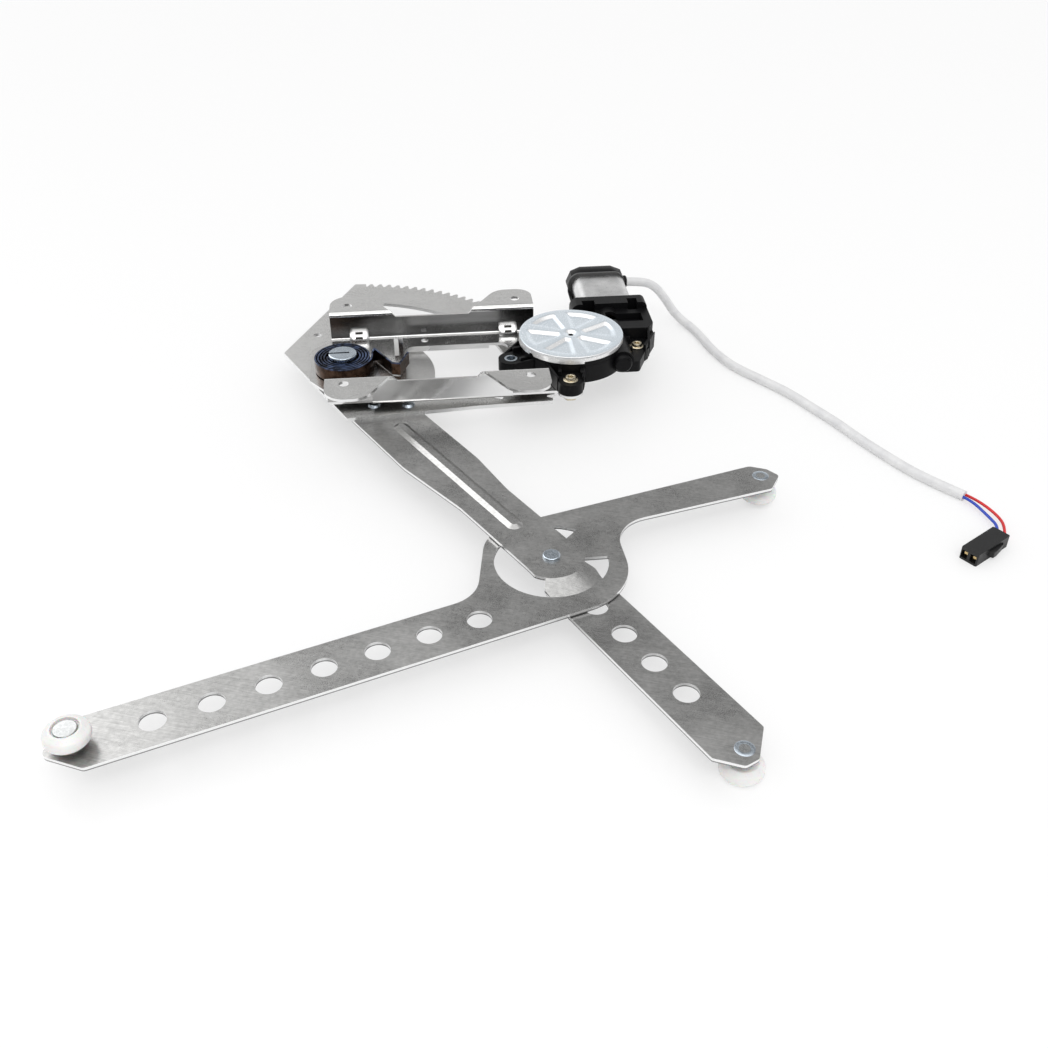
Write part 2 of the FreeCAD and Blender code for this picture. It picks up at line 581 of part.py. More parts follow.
def line_strip(points, half):
    """Outline of a bent strip along straight runs, with mitred corners."""
    left, right = [], []
    for i, point in enumerate(points):
        before = points[max(i - 1, 0)]
        after = points[min(i + 1, len(points) - 1)]
        first = (point - before).normalize() if i > 0 else (after - point).normalize()
        second = (after - point).normalize() if i < len(points) - 1 else first
        mean = (first + second).normalize()
        normal = Vector(-mean.y, mean.x, 0)
        reach = half / max(normal.dot(Vector(-first.y, first.x, 0)), 0.3)
        left.append(point + normal * reach)
        right.append(point - normal * reach)
    return closed_lines(left + right[::-1])


def offset_strip(points, half):
    """Outline of a smooth strip: two interpolated curves and two square ends."""
    sides = ([], [])
    for i, point in enumerate(points):
        before = points[max(i - 1, 0)]
        after = points[min(i + 1, len(points) - 1)]
        way = (after - before).normalize()
        normal = Vector(-way.y, way.x, 0) * half
        sides[0].append(point + normal)
        sides[1].append(point - normal)
    curves = []
    for side in sides:
        curve = Part.BSplineCurve()
        curve.interpolate(side)
        curves.append(curve)
    return [curves[0], Part.LineSegment(sides[0][-1], sides[1][-1]), curves[1],
            Part.LineSegment(sides[1][0], sides[0][0])]


# Rollers and their studs
def make_roller(name, centre, arm_face, collar, upward, peen=0.7):
    sign = 1 if upward else -1
    near = arm_face + sign * collar
    far = near + sign * d.roller_width
    bore = d.stud_radius + d.bore_clearance
    gap = d.running_gap
    roller = turned(name, [
        (bore, near + sign * gap), (d.roller_radius - 3, near + sign * gap, 1),
        (d.roller_radius, near + sign * 3.0, 2.5), (d.roller_radius, far - sign * 2.5, 2.5),
        (d.roller_radius - 3.5, far, 1), (6.6, far), (6.6, far - sign * 1.8),
        (bore, far - sign * 1.8)], centre)
    keep(roller, name)
    arm_back = arm_face - sign * d.arm_gauge
    stud = turned(name + "_stud", [
        (0, arm_back - sign * peen), (3.6, arm_back - sign * peen), (3.6, arm_back),
        (d.stud_radius, arm_back), (d.stud_radius, arm_face), (d.collar_radius, arm_face),
        (d.collar_radius, near), (d.stud_radius, near),
        (d.stud_radius, far - sign * (1.8 - gap)), (5.6, far - sign * (1.8 - gap)),
        (5.6, far - sign * 0.5, 0.5), (0, far - sign * 0.5)], centre)
    return keep(stud, name.replace("roller", "stud"))


# Gear housing, its cap and what turns inside
def make_gearbox():
    top, level, tube = d.drum_top, d.worm_level, 7.9
    drum = cylinder("drum", "dims.drum_radius", top - floor_top, Vector(gear.x, gear.y, floor_top))
    boss_top = -12.0
    pieces = [drum]
    for i, point in enumerate(screw_points):
        pieces.append(cylinder("boss_%d" % i, "dims.boss_radius", boss_top - floor_top,
                               Vector(point.x, point.y, floor_top)))
        side = (point - gear).normalize()
        normal = Vector(-side.y, side.x, 0)
        start = gear + side * 25
        for number, (near, far, height) in enumerate((
                (d.boss_radius, -d.boss_radius, boss_top - floor_top),
                (d.boss_radius, d.boss_radius - 2.2, top - 1 - floor_top),
                (-d.boss_radius + 2.2, -d.boss_radius, top - 1 - floor_top))):
            end = point if number == 0 else point - side * 4
            pieces.append(prism("web_%d_%d" % (i, number), rounded([
                (start.x + normal.x * near, start.y + normal.y * near),
                (start.x + normal.x * far, start.y + normal.y * far),
                (end.x + normal.x * far, end.y + normal.y * far),
                (end.x + normal.x * near, end.y + normal.y * near)]),
                Placement(Vector(0, 0, floor_top), Rotation()), Vector(0, 0, height)))
    right = worm_x + d.motor_width / 2 + 5
    left = worm_x - d.motor_width / 2 - 2
    flange_y = d.motor_start_y - 12
    pieces.append(prism("deck", rounded([
        (left, flange_y - 22), (worm_x, -8), (gear.x + 30, -24, 2), (right - 17, -24, 3),
        (right - 10, -8, 3), (right, 12, 4), (right, flange_y + 4), (left, flange_y + 4)]),
        Placement(Vector(0, 0, floor_top), Rotation()), Vector(0, 0, boss_top - floor_top)))
    pieces.append(prism("deck_top", rounded([
        (left + 2, flange_y - 16), (worm_x - 8, 14), (right - 4, 14, 3), (right, 20, 2),
        (right, flange_y + 4), (left + 2, flange_y + 4)]),
        Placement(Vector(0, 0, floor_top), Rotation()), Vector(0, 0, -6 - floor_top)))
    pieces.append(prism("deck_rib", rounded([
        (right - 3, 8), (right - 0.4, 10), (right - 10.4, -10), (right - 12, -8)]),
        Placement(Vector(0, 0, floor_top), Rotation()), Vector(0, 0, -8 - floor_top)))
    half = d.motor_height / 2
    pieces.append(prism("motor_flange", rounded([
        (left, level - half - 1, 6), (right, level - half - 1, 4), (right, level + half - 3, 4),
        (left, level + half - 3, 6)]),
        Placement(Vector(0, d.motor_start_y, 0),
                  Rotation(Vector(1, 0, 0), Vector(0, 0, 1), Vector(), "XZY")),
        Vector(0, flange_y - d.motor_start_y, 0)))
    solid = fuse("housing_solid", pieces)
    doc.recompute()
    lid_room = cylinder("lid_room", d.cap_radius + 0.3, 20, Vector(gear.x, gear.y, top))
    worm_tube = cylinder("worm_tube", tube, d.motor_start_y - 10 + 24,
                         Vector(worm_x, -24, level), Vector(0, 1, 0))
    body = fuse("housing_whole", [cut("housing_flat", solid, [lid_room]), worm_tube])
    doc.recompute()
    tools = [cylinder("wheel_room", d.wheel_radius + 1.2, 30, Vector(gear.x, gear.y, floor_top + 3)),
             cylinder("shaft_bore", "dims.shaft_radius + dims.bore_clearance", 8,
                      Vector(gear.x, gear.y, floor_top - 2)),
             cylinder("worm_bore", d.worm_radius + 0.8, d.motor_start_y + 20.1,
                      Vector(worm_x, -20, level), Vector(0, 1, 0)),
             cylinder("plug_bore", 5.6, 5, Vector(worm_x, -25, level), Vector(0, 1, 0)),
             cylinder("plug_room", 6.6, 8, Vector(worm_x, -32, level), Vector(0, 1, 0))]
    for i, point in enumerate(screw_points):
        tools.append(cylinder("bush_bore_%d" % i, 4.4, 12, Vector(point.x, point.y, floor_top - 1)))
    pockets = ((left + 8, flange_y - 4, 9, 10), (right - 14, flange_y - 2, 7, 9),
               (right - 32, flange_y - 20, 26, 12))
    for i, (x, y, width, depth) in enumerate(pockets):
        tools.append(box("pocket_%d" % i, Vector(x, y, -11), Vector(x + width, y + depth, 8)))
    keep(cut("housing_cut", body, tools), "gear_housing")
    keep(make_cap(), "gear_cap")


def tube_room(name):
    """Room for the worm tube in what lies over it."""
    return cylinder(name, 8.2, 100, Vector(worm_x, -40, d.worm_level), Vector(0, 1, 0))


def make_cap():
    top, sheet_low = d.cap_top, d.cap_top - d.cap_sheet
    low = d.drum_top
    shell = turned("cap_shell", [
        (1.6, top), (d.cap_radius, top, 1.2), (d.cap_radius, low), (d.cap_radius - 1.4, low),
        (d.cap_radius - 1.4, sheet_low, 0.8), (1.6, sheet_low)], gear)
    tools = []
    for i in range(6):
        start, end = i * 60 + 12, i * 60 + 60 - 12
        inner, outer = 9.5, 31.0
        tools.append(prism("cap_panel_%d" % i, [
            Part.Arc(polar(outer, start - 5), polar(outer, (start + end) / 2), polar(outer, end + 5)),
            Part.LineSegment(polar(outer, end + 5), polar(inner, end - 6)),
            Part.Arc(polar(inner, end - 6), polar(inner, (start + end) / 2), polar(inner, start + 6)),
            Part.LineSegment(polar(inner, start + 6), polar(outer, start - 5))],
            Placement(), Vector(0, 0, 3)))
        tools[-1].Placement = Placement(Vector(gear.x, gear.y, top - 0.7), Rotation())
    tools.append(tube_room("cap_tube_room"))
    return cut("cap_cut", shell, tools)


def make_gear_parts():
    ring = turned("cap_ring", [
        (d.drum_radius - 5, d.drum_top), (d.drum_radius - 1.5, d.drum_top),
        (d.drum_radius - 1.5, d.drum_top + 1.2), (d.drum_radius - 5, d.drum_top + 1.2)], gear)
    keep(cut("cap_seal_cut", ring, [tube_room("seal_tube_room")]), "cap_seal")
    wheel_low = floor_top + 3.4
    bore = d.shaft_radius
    keep(turned("worm_wheel", [
        (bore, wheel_low), (d.wheel_radius, wheel_low), (d.wheel_radius, wheel_low + d.wheel_width),
        (20, wheel_low + d.wheel_width), (20, wheel_low + 3), (9, wheel_low + 3),
        (9, wheel_low + d.wheel_width), (bore, wheel_low + d.wheel_width)], gear), "worm_wheel")
    keep(turned("cushion", [
        (9.3, wheel_low + 3.2), (19.6, wheel_low + 3.2), (19.6, wheel_low + 6.6, 1),
        (9.3, wheel_low + 6.6, 1)], gear), "drive_cushion")
    keep(turned("drive_plate", [
        (bore, wheel_low + d.wheel_width + 0.1), (21, wheel_low + d.wheel_width + 0.1),
        (21, wheel_low + d.wheel_width + 1.6), (bore, wheel_low + d.wheel_width + 1.6)], gear),
        "drive_plate")
    top = wheel_low + d.wheel_width + 2.6
    pinion_top = sector_top + 0.9
    shaft = turned("output_shaft", [
        (0, top), (bore, top, 0.5), (bore, pinion_top - d.pinion_width - 1.6, 0.5),
        (0, pinion_top - d.pinion_width - 1.6)], gear)
    keep(shaft, "output_shaft")
    tip, root = pinion_pitch_radius + 0.85 * d.gear_module, pinion_pitch_radius - 1.15 * d.gear_module
    points = []
    for number in range(int(d.pinion_teeth)):
        centre_angle = 180 + number * 360 / d.pinion_teeth
        for radius, turn in tooth_points(d.pinion_teeth, root, tip, centre_angle):
            points.append(polar(radius, turn, gear))
    keep(plate("pinion", closed_lines(points), pinion_top, "dims.pinion_width",
               [circle(gear, bore)]), "pinion")


def make_screws():
    bushes, screws, nuts = [], [], []
    for i, point in enumerate(screw_points):
        bushes.append(turned("bush_%d" % i, [
            (d.screw_radius + 0.1, floor_top), (4.4, floor_top), (4.4, -12.0),
            (d.screw_radius + 0.1, -12.0)], point))
        if i == 2:
            continue
        screws.append(turned("screw_%d" % i, [
            (0, -9.6), (3.2, -9.6, 0.5), (4.8, -11.0), (4.8, -12.0), (d.screw_radius, -12.0),
            (d.screw_radius, floor_low - 4.2, 0.5), (0, floor_low - 4.2)], point))
        nuts.append(prism("nut_%d" % i, closed_lines([polar(5.2, 60 * k, point) for k in range(6)]),
                          Placement(Vector(0, 0, floor_low - 3.4), Rotation()), Vector(0, 0, 3.4)))
        bore = cylinder("nut_bore_%d" % i, "dims.screw_radius", 8,
                        Vector(point.x, point.y, floor_low - 5))
        nuts[-1] = cut("nut_cut_%d" % i, nuts[-1], [bore])
    keep(group("bush_group", bushes), "housing_bushes")
    keep(group("screw_group", screws), "gearbox_screws")
    keep(group("nut_group", nuts), "gearbox_nuts")


def make_motor():
    level, half = d.worm_level, d.motor_height / 2
    start, end = d.motor_start_y, d.motor_start_y + d.can_length
    wide = d.motor_width / 2

    def block(name, inset, low_y, high_y, corner):
        return prism(name, rounded([
            (worm_x - wide + inset, level - half + inset, corner),
            (worm_x + wide - inset, level - half + inset, corner),
            (worm_x + wide - inset, level + half - inset, corner),
            (worm_x - wide + inset, level + half - inset, corner)]),
            Placement(Vector(0, high_y, 0),
                      Rotation(Vector(1, 0, 0), Vector(0, 0, 1), Vector(), "XZY")),
            Vector(0, low_y - high_y, 0))

    can = block("can_outer", 0, start, end, 11)
    hollow = block("can_hollow", d.can_wall, start - 1, end + 1, 9.5)
    keep(cut("can_cut", can, [hollow]), "motor_can")
    cap = block("end_outer", -0.8, end, end + d.end_cap_length, 10)
    cap_hollow = block("end_hollow", 2.0, end - 1, end + d.end_cap_length - 2.5, 9)
    exit_hole = cylinder("lead_hole", 3.4, 8, Vector(worm_x + wide - 5, end + 7, level),
                         Vector(1, 0, 0))
    keep(cut("end_cut", cap, [cap_hollow, exit_hole]), "motor_end_cap")
    shaft_end = end + 12
    keep(turned("worm_shaft", [
        (0, 0), (2.4, 0, 0.4), (2.4, 8), (d.worm_radius, 9), (d.worm_radius, 36), (2.4, 37),
        (2.4, shaft_end + 19), (0, shaft_end + 19)],
        Vector(worm_x, -19, level), "Y"), "worm_shaft")
    core_start = start + 3
    keep(turned("rotor", [(2.5, 0), (9.0, 0, 1), (9.0, 26, 1), (2.5, 26)],
                Vector(worm_x, core_start, level), "Y"), "rotor_core")
    keep(turned("commutator", [(2.5, 0), (6.0, 0), (6.0, 7), (2.5, 7)],
                Vector(worm_x, core_start + 29, level), "Y"), "commutator")
    wires = [turned("coil_%d" % i, [(2.6, y), (8.4, y, 1.2), (8.4, y + 2.6, 1.2), (2.6, y + 2.6)],
                    Vector(worm_x, core_start, level), "Y") for i, y in enumerate((-2.7, 26.1))]
    keep(group("coil_group", wires), "windings")
    bearings = [turned("bearing_%d" % i, [
        (2.4 + d.bore_clearance, 0), (outer, 0), (outer, long), (2.4 + d.bore_clearance, long)],
        Vector(worm_x, y, level), "Y") for i, (y, outer, long) in enumerate(
            ((-19.5, 5.5, 4.0), (d.motor_start_y - 8, d.worm_radius + 0.8, 5.0),
             (end + 12.0, 5.0, 4.5)))]
    keep(group("bearing_group", bearings), "motor_bearings")
    brushes = []
    for side in (-1, 1):
        near, far = worm_x + side * 6.1, worm_x + side * 15.0
        brushes.append(box("brush_%d" % side, Vector(min(near, far), core_start + 31, level - 2),
                           Vector(max(near, far), core_start + 34.9, level + 2)))
    keep(group("brush_group", brushes), "brushes")
    filled = block("magnet_block", d.can_wall + 0.1, start + 4, start + 30, 9.4)
    room = cylinder("magnet_bore", 10.2, 30, Vector(worm_x, start + 2, level), Vector(0, 1, 0))
    middle = box("magnet_gap", Vector(worm_x - 8, start + 3, level - 15),
                 Vector(worm_x + 8, start + 31, level + 15))
    keep(cut("magnet_pair", filled, [room, middle]), "magnets")
    holder = block("holder_outer", d.can_wall + 0.8, end + 0.5, end + 2.5, 9)
    holder_bore = cylinder("holder_bore", 7.0, 8, Vector(worm_x, end - 2, level), Vector(0, 1, 0))
    keep(cut("holder_cut", holder, [holder_bore]), "brush_holder")
    plug = turned("worm_plug", [(0, 0), (5.0, 0, 1), (6.3, 1.5, 0.5), (6.3, 4.4), (5.55, 4.4),
                                (5.55, 8.5), (0, 8.5)], Vector(worm_x, -28.5, level), "Y")
    keep(plug, "worm_plug")


# Cable: its route as points, rounded by tangent arcs
FLOOR_LINE = ground + d.sheath_radius
CABLE = [(148.6, 101.0, -12.0), (163.0, 101.5, -12.5), (174.0, 107.0, -19.5),
         (183.0, 109.5, -31.0), (190.0, 106.0, -41.5), (196.0, 98.0, FLOOR_LINE + 0.6),
         (201.5, 86.0, FLOOR_LINE), (205.5, 68.0, FLOOR_LINE), (208.5, 49.5, FLOOR_LINE),
         (217.0, 24.0, FLOOR_LINE), (233.0, 2.0, FLOOR_LINE), (248.0, -19.0, FLOOR_LINE),
         (258.5, -41.0, FLOOR_LINE), (269.0, -61.5, FLOOR_LINE), (277.8, -84.0, FLOOR_LINE),
         (290.1, -109.0, FLOOR_LINE), (301.5, -130.0, FLOOR_LINE), (320.5, -153.0, FLOOR_LINE)]


def tube_along(name, points, radius):
    """A round tube along straight runs joined by tangent arcs."""
    points = [Vector(*p) for p in points]
    edges = []
    last = points[0]
    radii = []
    for i in range(1, len(points) - 1):
        here = points[i]
        back = (points[i - 1] - here)
        ahead = (points[i + 1] - here)
        shorter = min(back.Length, ahead.Length)
        turn = math.pi - back.getAngle(ahead)
        arc = 0.45 * shorter / math.tan(turn / 2)
        radii.append(arc)
        back.normalize()
        ahead.normalize()
        start, end = here + back * 0.45 * shorter, here + ahead * 0.45 * shorter
        way = (back + ahead).normalize()
        centre = here + way * (arc / math.cos(turn / 2))
        edges.append(Part.LineSegment(last, start).toShape())
        edges.append(Part.Arc(start, centre - way * arc, end).toShape())
        last = end
    edges.append(Part.LineSegment(last, points[-1]).toShape())
    path = Part.Wire(edges)
    face = Part.Wire([Part.Circle(points[0], points[1] - points[0], radius).toShape()])
    shape = path.makePipeShell([face], True, False)
    wanted = math.pi * radius ** 2 * path.Length
    print("%s: length %.1f, volume ratio %.4f, least radius %.1f" %
          (name, path.Length, shape.Volume / wanted, min(radii)))
    item = doc.addObject("Part::Feature", name + "_tube")
    item.Shape = shape
    return item


WIRE_STARTS = ((0.6, 1.3), (-1.2, -0.8))


def make_cable():
    keep(tube_along("cable_sheath", CABLE, d.sheath_radius), "cable_sheath")
    way = (Vector(*CABLE[-1]) - Vector(*CABLE[-2])).normalize()
    aside = Vector(way.y, -way.x, 0)
    end = Vector(*CABLE[-1])
    low = ground + d.wire_radius + 1.2
    red_start, blue_start = end - aside * 1.6, end + aside * 1.6
    high = ground + d.plug_height / 2
    red = [red_start, red_start + way * 8, Vector(332.8, -173.5, low + 0.6),
           Vector(331.5, -187.5, high), Vector(*plug_socket(-2.4))]
    blue = [blue_start, blue_start + way * 6, Vector(327.0, -175.5, low + 0.6),
            Vector(327.3, -186.5, high), Vector(*plug_socket(2.4))]
    keep(tube_along("red_wire", [tuple(p) for p in red], d.wire_radius), "red_wire")
    keep(tube_along("blue_wire", [tuple(p) for p in blue], d.wire_radius), "blue_wire")
    make_plug()


PLUG_ANGLE = 212.4
PLUG_BACK = Vector(324.4, -196.0, 0)


def plug_socket(aside):
    """Where a wire meets the back of the plug."""
    way = polar(1, PLUG_ANGLE)
    side = Vector(-way.y, way.x, 0)
    point = PLUG_BACK - side * aside - way * 0.5
    return (point.x, point.y, ground + d.plug_height / 2)


def make_plug():
    length, width, height = d.plug_length, d.plug_width, d.plug_height
    turn = Placement(Vector(PLUG_BACK.x, PLUG_BACK.y, ground + 0.02),
                     Rotation(Vector(0, 0, 1), PLUG_ANGLE))
    shell = prism("plug_shell", rounded([(0, -width / 2, 1), (length, -width / 2, 1),
                                         (length, width / 2, 1), (0, width / 2, 1)]),
                  Placement(), Vector(0, 0, height))
    latch = prism("plug_latch", rounded([(6, width / 2 - 0.5), (20, width / 2 - 0.5),
                                         (19, width / 2 + 2.6, 0.6), (16, width / 2 + 2.6, 0.6),
                                         (8, width / 2 + 1.2, 0.6)]),
                  Placement(Vector(0, 0, height / 2 - 2.0), Rotation()), Vector(0, 0, 4))
    half = width / 4
    rooms = [box("plug_room_%d" % i, Vector(length - 13, y - 2.0, 1.4),
                 Vector(length + 1, y + 2.0, height - 1.4)) for i, y in enumerate((-half, half))]
    whole = fuse("plug_whole", [shell, latch])
    doc.recompute()
    plug = cut("plug_cut", whole, rooms)
    plug.Placement = turn
    keep(plug, "plug_housing")
    pins = [box("plug_pin_%d" % i, Vector(length - 12.9, y - 1.2, height / 2 - 0.8),
                Vector(length - 2, y + 1.2, height / 2 + 0.8)) for i, y in enumerate((-half, half))]
    pair = group("plug_pins", pins)
    doc.recompute()
    pair.Placement = turn
    keep(pair, "plug_terminals")


make_bracket_node()
make_sector()
make_lift_arm()
make_cross_arm()
make_pivot()
make_clock_spring()
make_roller("left_roller", left_end, cross_top, d.collar_high, True)
make_roller("right_roller", right_end, cross_low, d.collar_low, False, peen=d.running_gap / 2)
make_roller("lower_roller", lower_end, lower_low, d.collar_low, False, peen=d.running_gap / 2)
make_gearbox()
make_gear_parts()
make_screws()
make_motor()
make_cable()
doc.recompute()

faults = [item.Name for item in doc.Objects if {"Invalid", "Error"} & set(item.State)]
if faults:
    raise RuntimeError("failed objects: " + ", ".join(faults))
for item in nodes:
    if item.Shape.isNull() or not item.Shape.isValid():
        raise RuntimeError("bad shape: " + item.Label)
for item in nodes:
    item.Shape.exportStep("parts/%s.step" % item.Label)
    box_of = item.Shape.BoundBox
    print("%-18s solids %d  x %.1f..%.1f  y %.1f..%.1f  z %.1f..%.1f" % (
        item.Label, len(item.Shape.Solids), box_of.XMin, box_of.XMax, box_of.YMin, box_of.YMax,
        box_of.ZMin, box_of.ZMax))
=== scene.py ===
"""Studio scene of a power window regulator on a plain white table."""
import bpy
import bmesh
import json
import math
from mathutils import Matrix, Vector


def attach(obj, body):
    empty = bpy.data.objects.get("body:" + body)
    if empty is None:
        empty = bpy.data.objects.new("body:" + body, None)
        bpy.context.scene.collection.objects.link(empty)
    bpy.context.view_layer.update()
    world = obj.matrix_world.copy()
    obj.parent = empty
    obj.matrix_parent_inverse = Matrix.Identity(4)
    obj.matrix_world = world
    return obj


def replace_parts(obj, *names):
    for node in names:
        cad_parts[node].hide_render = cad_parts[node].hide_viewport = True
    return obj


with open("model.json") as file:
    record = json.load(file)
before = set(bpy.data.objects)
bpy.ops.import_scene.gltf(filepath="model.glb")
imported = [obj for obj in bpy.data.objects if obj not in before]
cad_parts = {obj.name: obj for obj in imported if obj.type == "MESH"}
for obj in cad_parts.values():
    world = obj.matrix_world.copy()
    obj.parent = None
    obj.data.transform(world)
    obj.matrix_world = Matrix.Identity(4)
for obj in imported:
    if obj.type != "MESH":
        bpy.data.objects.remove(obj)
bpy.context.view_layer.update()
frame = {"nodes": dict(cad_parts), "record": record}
nodes = frame["nodes"]

TABLE = -0.0497
PIVOT = Vector((-0.06275, 0.0, 0.0))
GEAR = Vector((0.09475, 0.0, 0.0))
WORM_X = 0.126
LIFT_TOP = -0.0277
SHEET_STEP = 0.0026
CROSS_PIN = Vector((0.05502, -0.21073, 0.0))
RIGHT_END = Vector((0.19229, -0.14121, 0.0))
LOWER_END = Vector((0.12751, -0.35549, 0.0))


class Shader:
    """A small helper that builds a principled material from nodes."""

    def __init__(self, name, color, metallic=0.0, roughness=0.5, **sockets):
        self.material = bpy.data.materials.new(name)
        self.material.use_nodes = True
        self.tree = self.material.node_tree
        self.bsdf = self.tree.nodes["Principled BSDF"]
        self.bsdf.inputs["Base Color"].default_value = (*color, 1)
        self.bsdf.inputs["Metallic"].default_value = metallic
        self.bsdf.inputs["Roughness"].default_value = roughness
        for key, value in sockets.items():
            self.bsdf.inputs[key.replace("_", " ")].default_value = value
        self.place = self.add("ShaderNodeTexCoord").outputs["Object"]

    def add(self, kind, **settings):
        node = self.tree.nodes.new(kind)
        for key, value in settings.items():
            setattr(node, key, value)
        return node

    def link(self, source, target):
        self.tree.links.new(source, target)

    def stretched(self, scale, angle=0.0):
        """Object coordinates turned about Z and stretched."""
        turn = self.add("ShaderNodeMapping")
        turn.inputs["Rotation"].default_value = (0, 0, angle)
        self.link(self.place, turn.inputs["Vector"])
        stretch = self.add("ShaderNodeMapping")
        stretch.inputs["Scale"].default_value = scale
        self.link(turn.outputs["Vector"], stretch.inputs["Vector"])
        return stretch.outputs["Vector"]

    def noise(self, scale, detail=4.0, rough=0.55, vector=None, distortion=0.0):
        node = self.add("ShaderNodeTexNoise")
        node.inputs["Scale"].default_value = scale
        node.inputs["Detail"].default_value = detail
        node.inputs["Roughness"].default_value = rough
        node.inputs["Distortion"].default_value = distortion
        self.link(vector or self.place, node.inputs["Vector"])
        return node.outputs["Fac"]

    def ramp(self, source, low, high, start=0.0, end=1.0):
        """Map a value to a range."""
        node = self.add("ShaderNodeMapRange")
        node.inputs["From Min"].default_value = start
        node.inputs["From Max"].default_value = end
        node.inputs["To Min"].default_value = low
        node.inputs["To Max"].default_value = high
        self.link(source, node.inputs["Value"])
        return node.outputs["Result"]

    def math(self, operation, first, second=None, clamp=False):
        node = self.add("ShaderNodeMath", operation=operation, use_clamp=clamp)
        for socket, value in zip(node.inputs, (first, second)):
            if value is None:
                continue
            if isinstance(value, (int, float)):
                socket.default_value = value
            else:
                self.link(value, socket)
        return node.outputs[0]

    def mix(self, share, first, second):
        node = self.add("ShaderNodeMix", data_type="RGBA")
        sockets = (node.inputs[0], node.inputs[6], node.inputs[7])
        for socket, value in zip(sockets, (share, first, second)):
            if isinstance(value, tuple):
                socket.default_value = (*value, 1)
            elif isinstance(value, (int, float)):
                socket.default_value = value
            else:
                self.link(value, socket)
        return node.outputs[2]

    def bump(self, height, distance, strength=1.0):
        node = self.add("ShaderNodeBump")
        node.inputs["Distance"].default_value = distance
        node.inputs["Strength"].default_value = strength
        self.link(height, node.inputs["Height"])
        self.link(node.outputs["Normal"], self.bsdf.inputs["Normal"])

    def side(self, start=0.35, end=0.75):
        """1 on faces that stand upright in the row frame, 0 on flat ones."""
        normal = self.add("ShaderNodeNewGeometry").outputs["Normal"]
        parts = self.add("ShaderNodeSeparateXYZ")
        self.link(normal, parts.inputs[0])
        flat = self.math("ABSOLUTE", parts.outputs[2])
        return self.ramp(flat, 1.0, 0.0, start, end)

    def height(self):
        """Height in the row frame, in metres."""
        parts = self.add("ShaderNodeSeparateXYZ")
        self.link(self.place, parts.inputs[0])
        return parts.outputs[2]


def sheet_steel(name, tone, roughness, grain_angle, edge_tone, spangle=0.05, back_wall_painted_shade=None, band=0.0):
    """Zinc plated sheet: rolling grain, cloudy patches and paler cut edges.

    back_wall_painted_shade gives the bracket's back wall a darker tone, a painted shade that stands
    in for the dark room it reflects, and band starts a darker lower part of the cut edges of the arms,
    which is partly painted shade. Both are painted after the photograph.
    """
    s = Shader(name, (tone, tone, tone), metallic=1.0, roughness=roughness)
    grain = s.noise(1.0, 3.0, 0.6, s.stretched((90, 2100, 900), grain_angle))
    fine = s.noise(2400, 2.0, 0.7)
    clouds = s.noise(24, 5.0, 0.6, distortion=0.4)
    mottle = s.noise(420, 3.0, 0.6)
    level = s.math("ADD", s.ramp(grain, -spangle, spangle, 0.3, 0.7),
                   s.ramp(clouds, -spangle * 0.6, spangle * 0.6, 0.3, 0.7))
    level = s.math("ADD", level, s.ramp(mottle, -spangle * 0.8, spangle * 0.8, 0.3, 0.7))
    level = s.math("ADD", level, tone)
    joined = s.add("ShaderNodeCombineColor")
    s.link(level, joined.inputs[0])
    s.link(s.math("MULTIPLY", level, 0.995), joined.inputs[1])
    s.link(s.math("MULTIPLY", level, 0.98), joined.inputs[2])
    edge = s.side()
    edge_color = (edge_tone, edge_tone, edge_tone)
    if band:
        # A cut edge is burnished above and torn, so darker, along its lower part, also a painted
        # shade.
        # The three sheets of the arms lie one SHEET_STEP apart.
        down = s.math("DIVIDE", s.math("SUBTRACT", LIFT_TOP, s.height()), SHEET_STEP)
        torn_and_shaded = s.ramp(s.math("FRACT", down), 0.0, 1.0, band - 0.05, band + 0.05)
        lower = s.mix(torn_and_shaded, edge_color, (0.24, 0.24, 0.24))
        colour = s.mix(edge, joined.outputs[0], lower)
    else:
        colour = s.mix(edge, joined.outputs[0], edge_color)
    if back_wall_painted_shade:
        # Painted shade: the back wall is painted darker, with streaks, for the dark room it reflects
        # Only the back wall, between its bends
        place = s.add("ShaderNodeSeparateXYZ")
        s.link(s.place, place.inputs[0])
        deep = s.ramp(place.outputs[2], 1.0, 0.0, -0.0038, -0.0026)
        high = s.ramp(place.outputs[2], 0.0, 1.0, -0.0196, -0.0184)
        shade = s.math("MULTIPLY", s.math("MULTIPLY", deep, high), edge)
        shade = s.math("MULTIPLY", shade, s.ramp(place.outputs[1], 0.0, 1.0, 0.0415, 0.0425))
        streak = s.noise(1.0, 3.0, 0.5, s.stretched((9, 9, 130)))
        dark = s.mix(s.ramp(streak, 0.0, 1.0, 0.3, 0.7), (back_wall_painted_shade * 0.6,) * 3, (back_wall_painted_shade * 1.5,) * 3)
        colour = s.mix(shade, colour, dark)
    s.link(colour, s.bsdf.inputs["Base Color"])
    rough = s.math("ADD", s.ramp(fine, roughness - 0.05, roughness + 0.07, 0.3, 0.7),
                   s.ramp(clouds, -0.04, 0.05, 0.35, 0.65))
    s.link(s.math("MAXIMUM", s.math("SUBTRACT", rough, s.math("MULTIPLY", edge, 0.06)), 0.05),
           s.bsdf.inputs["Roughness"])
    relief = s.math("ADD", s.math("MULTIPLY", grain, 0.5), s.math("MULTIPLY", fine, 0.5))
    s.bump(relief, 0.00004, 0.5)
    return s.material


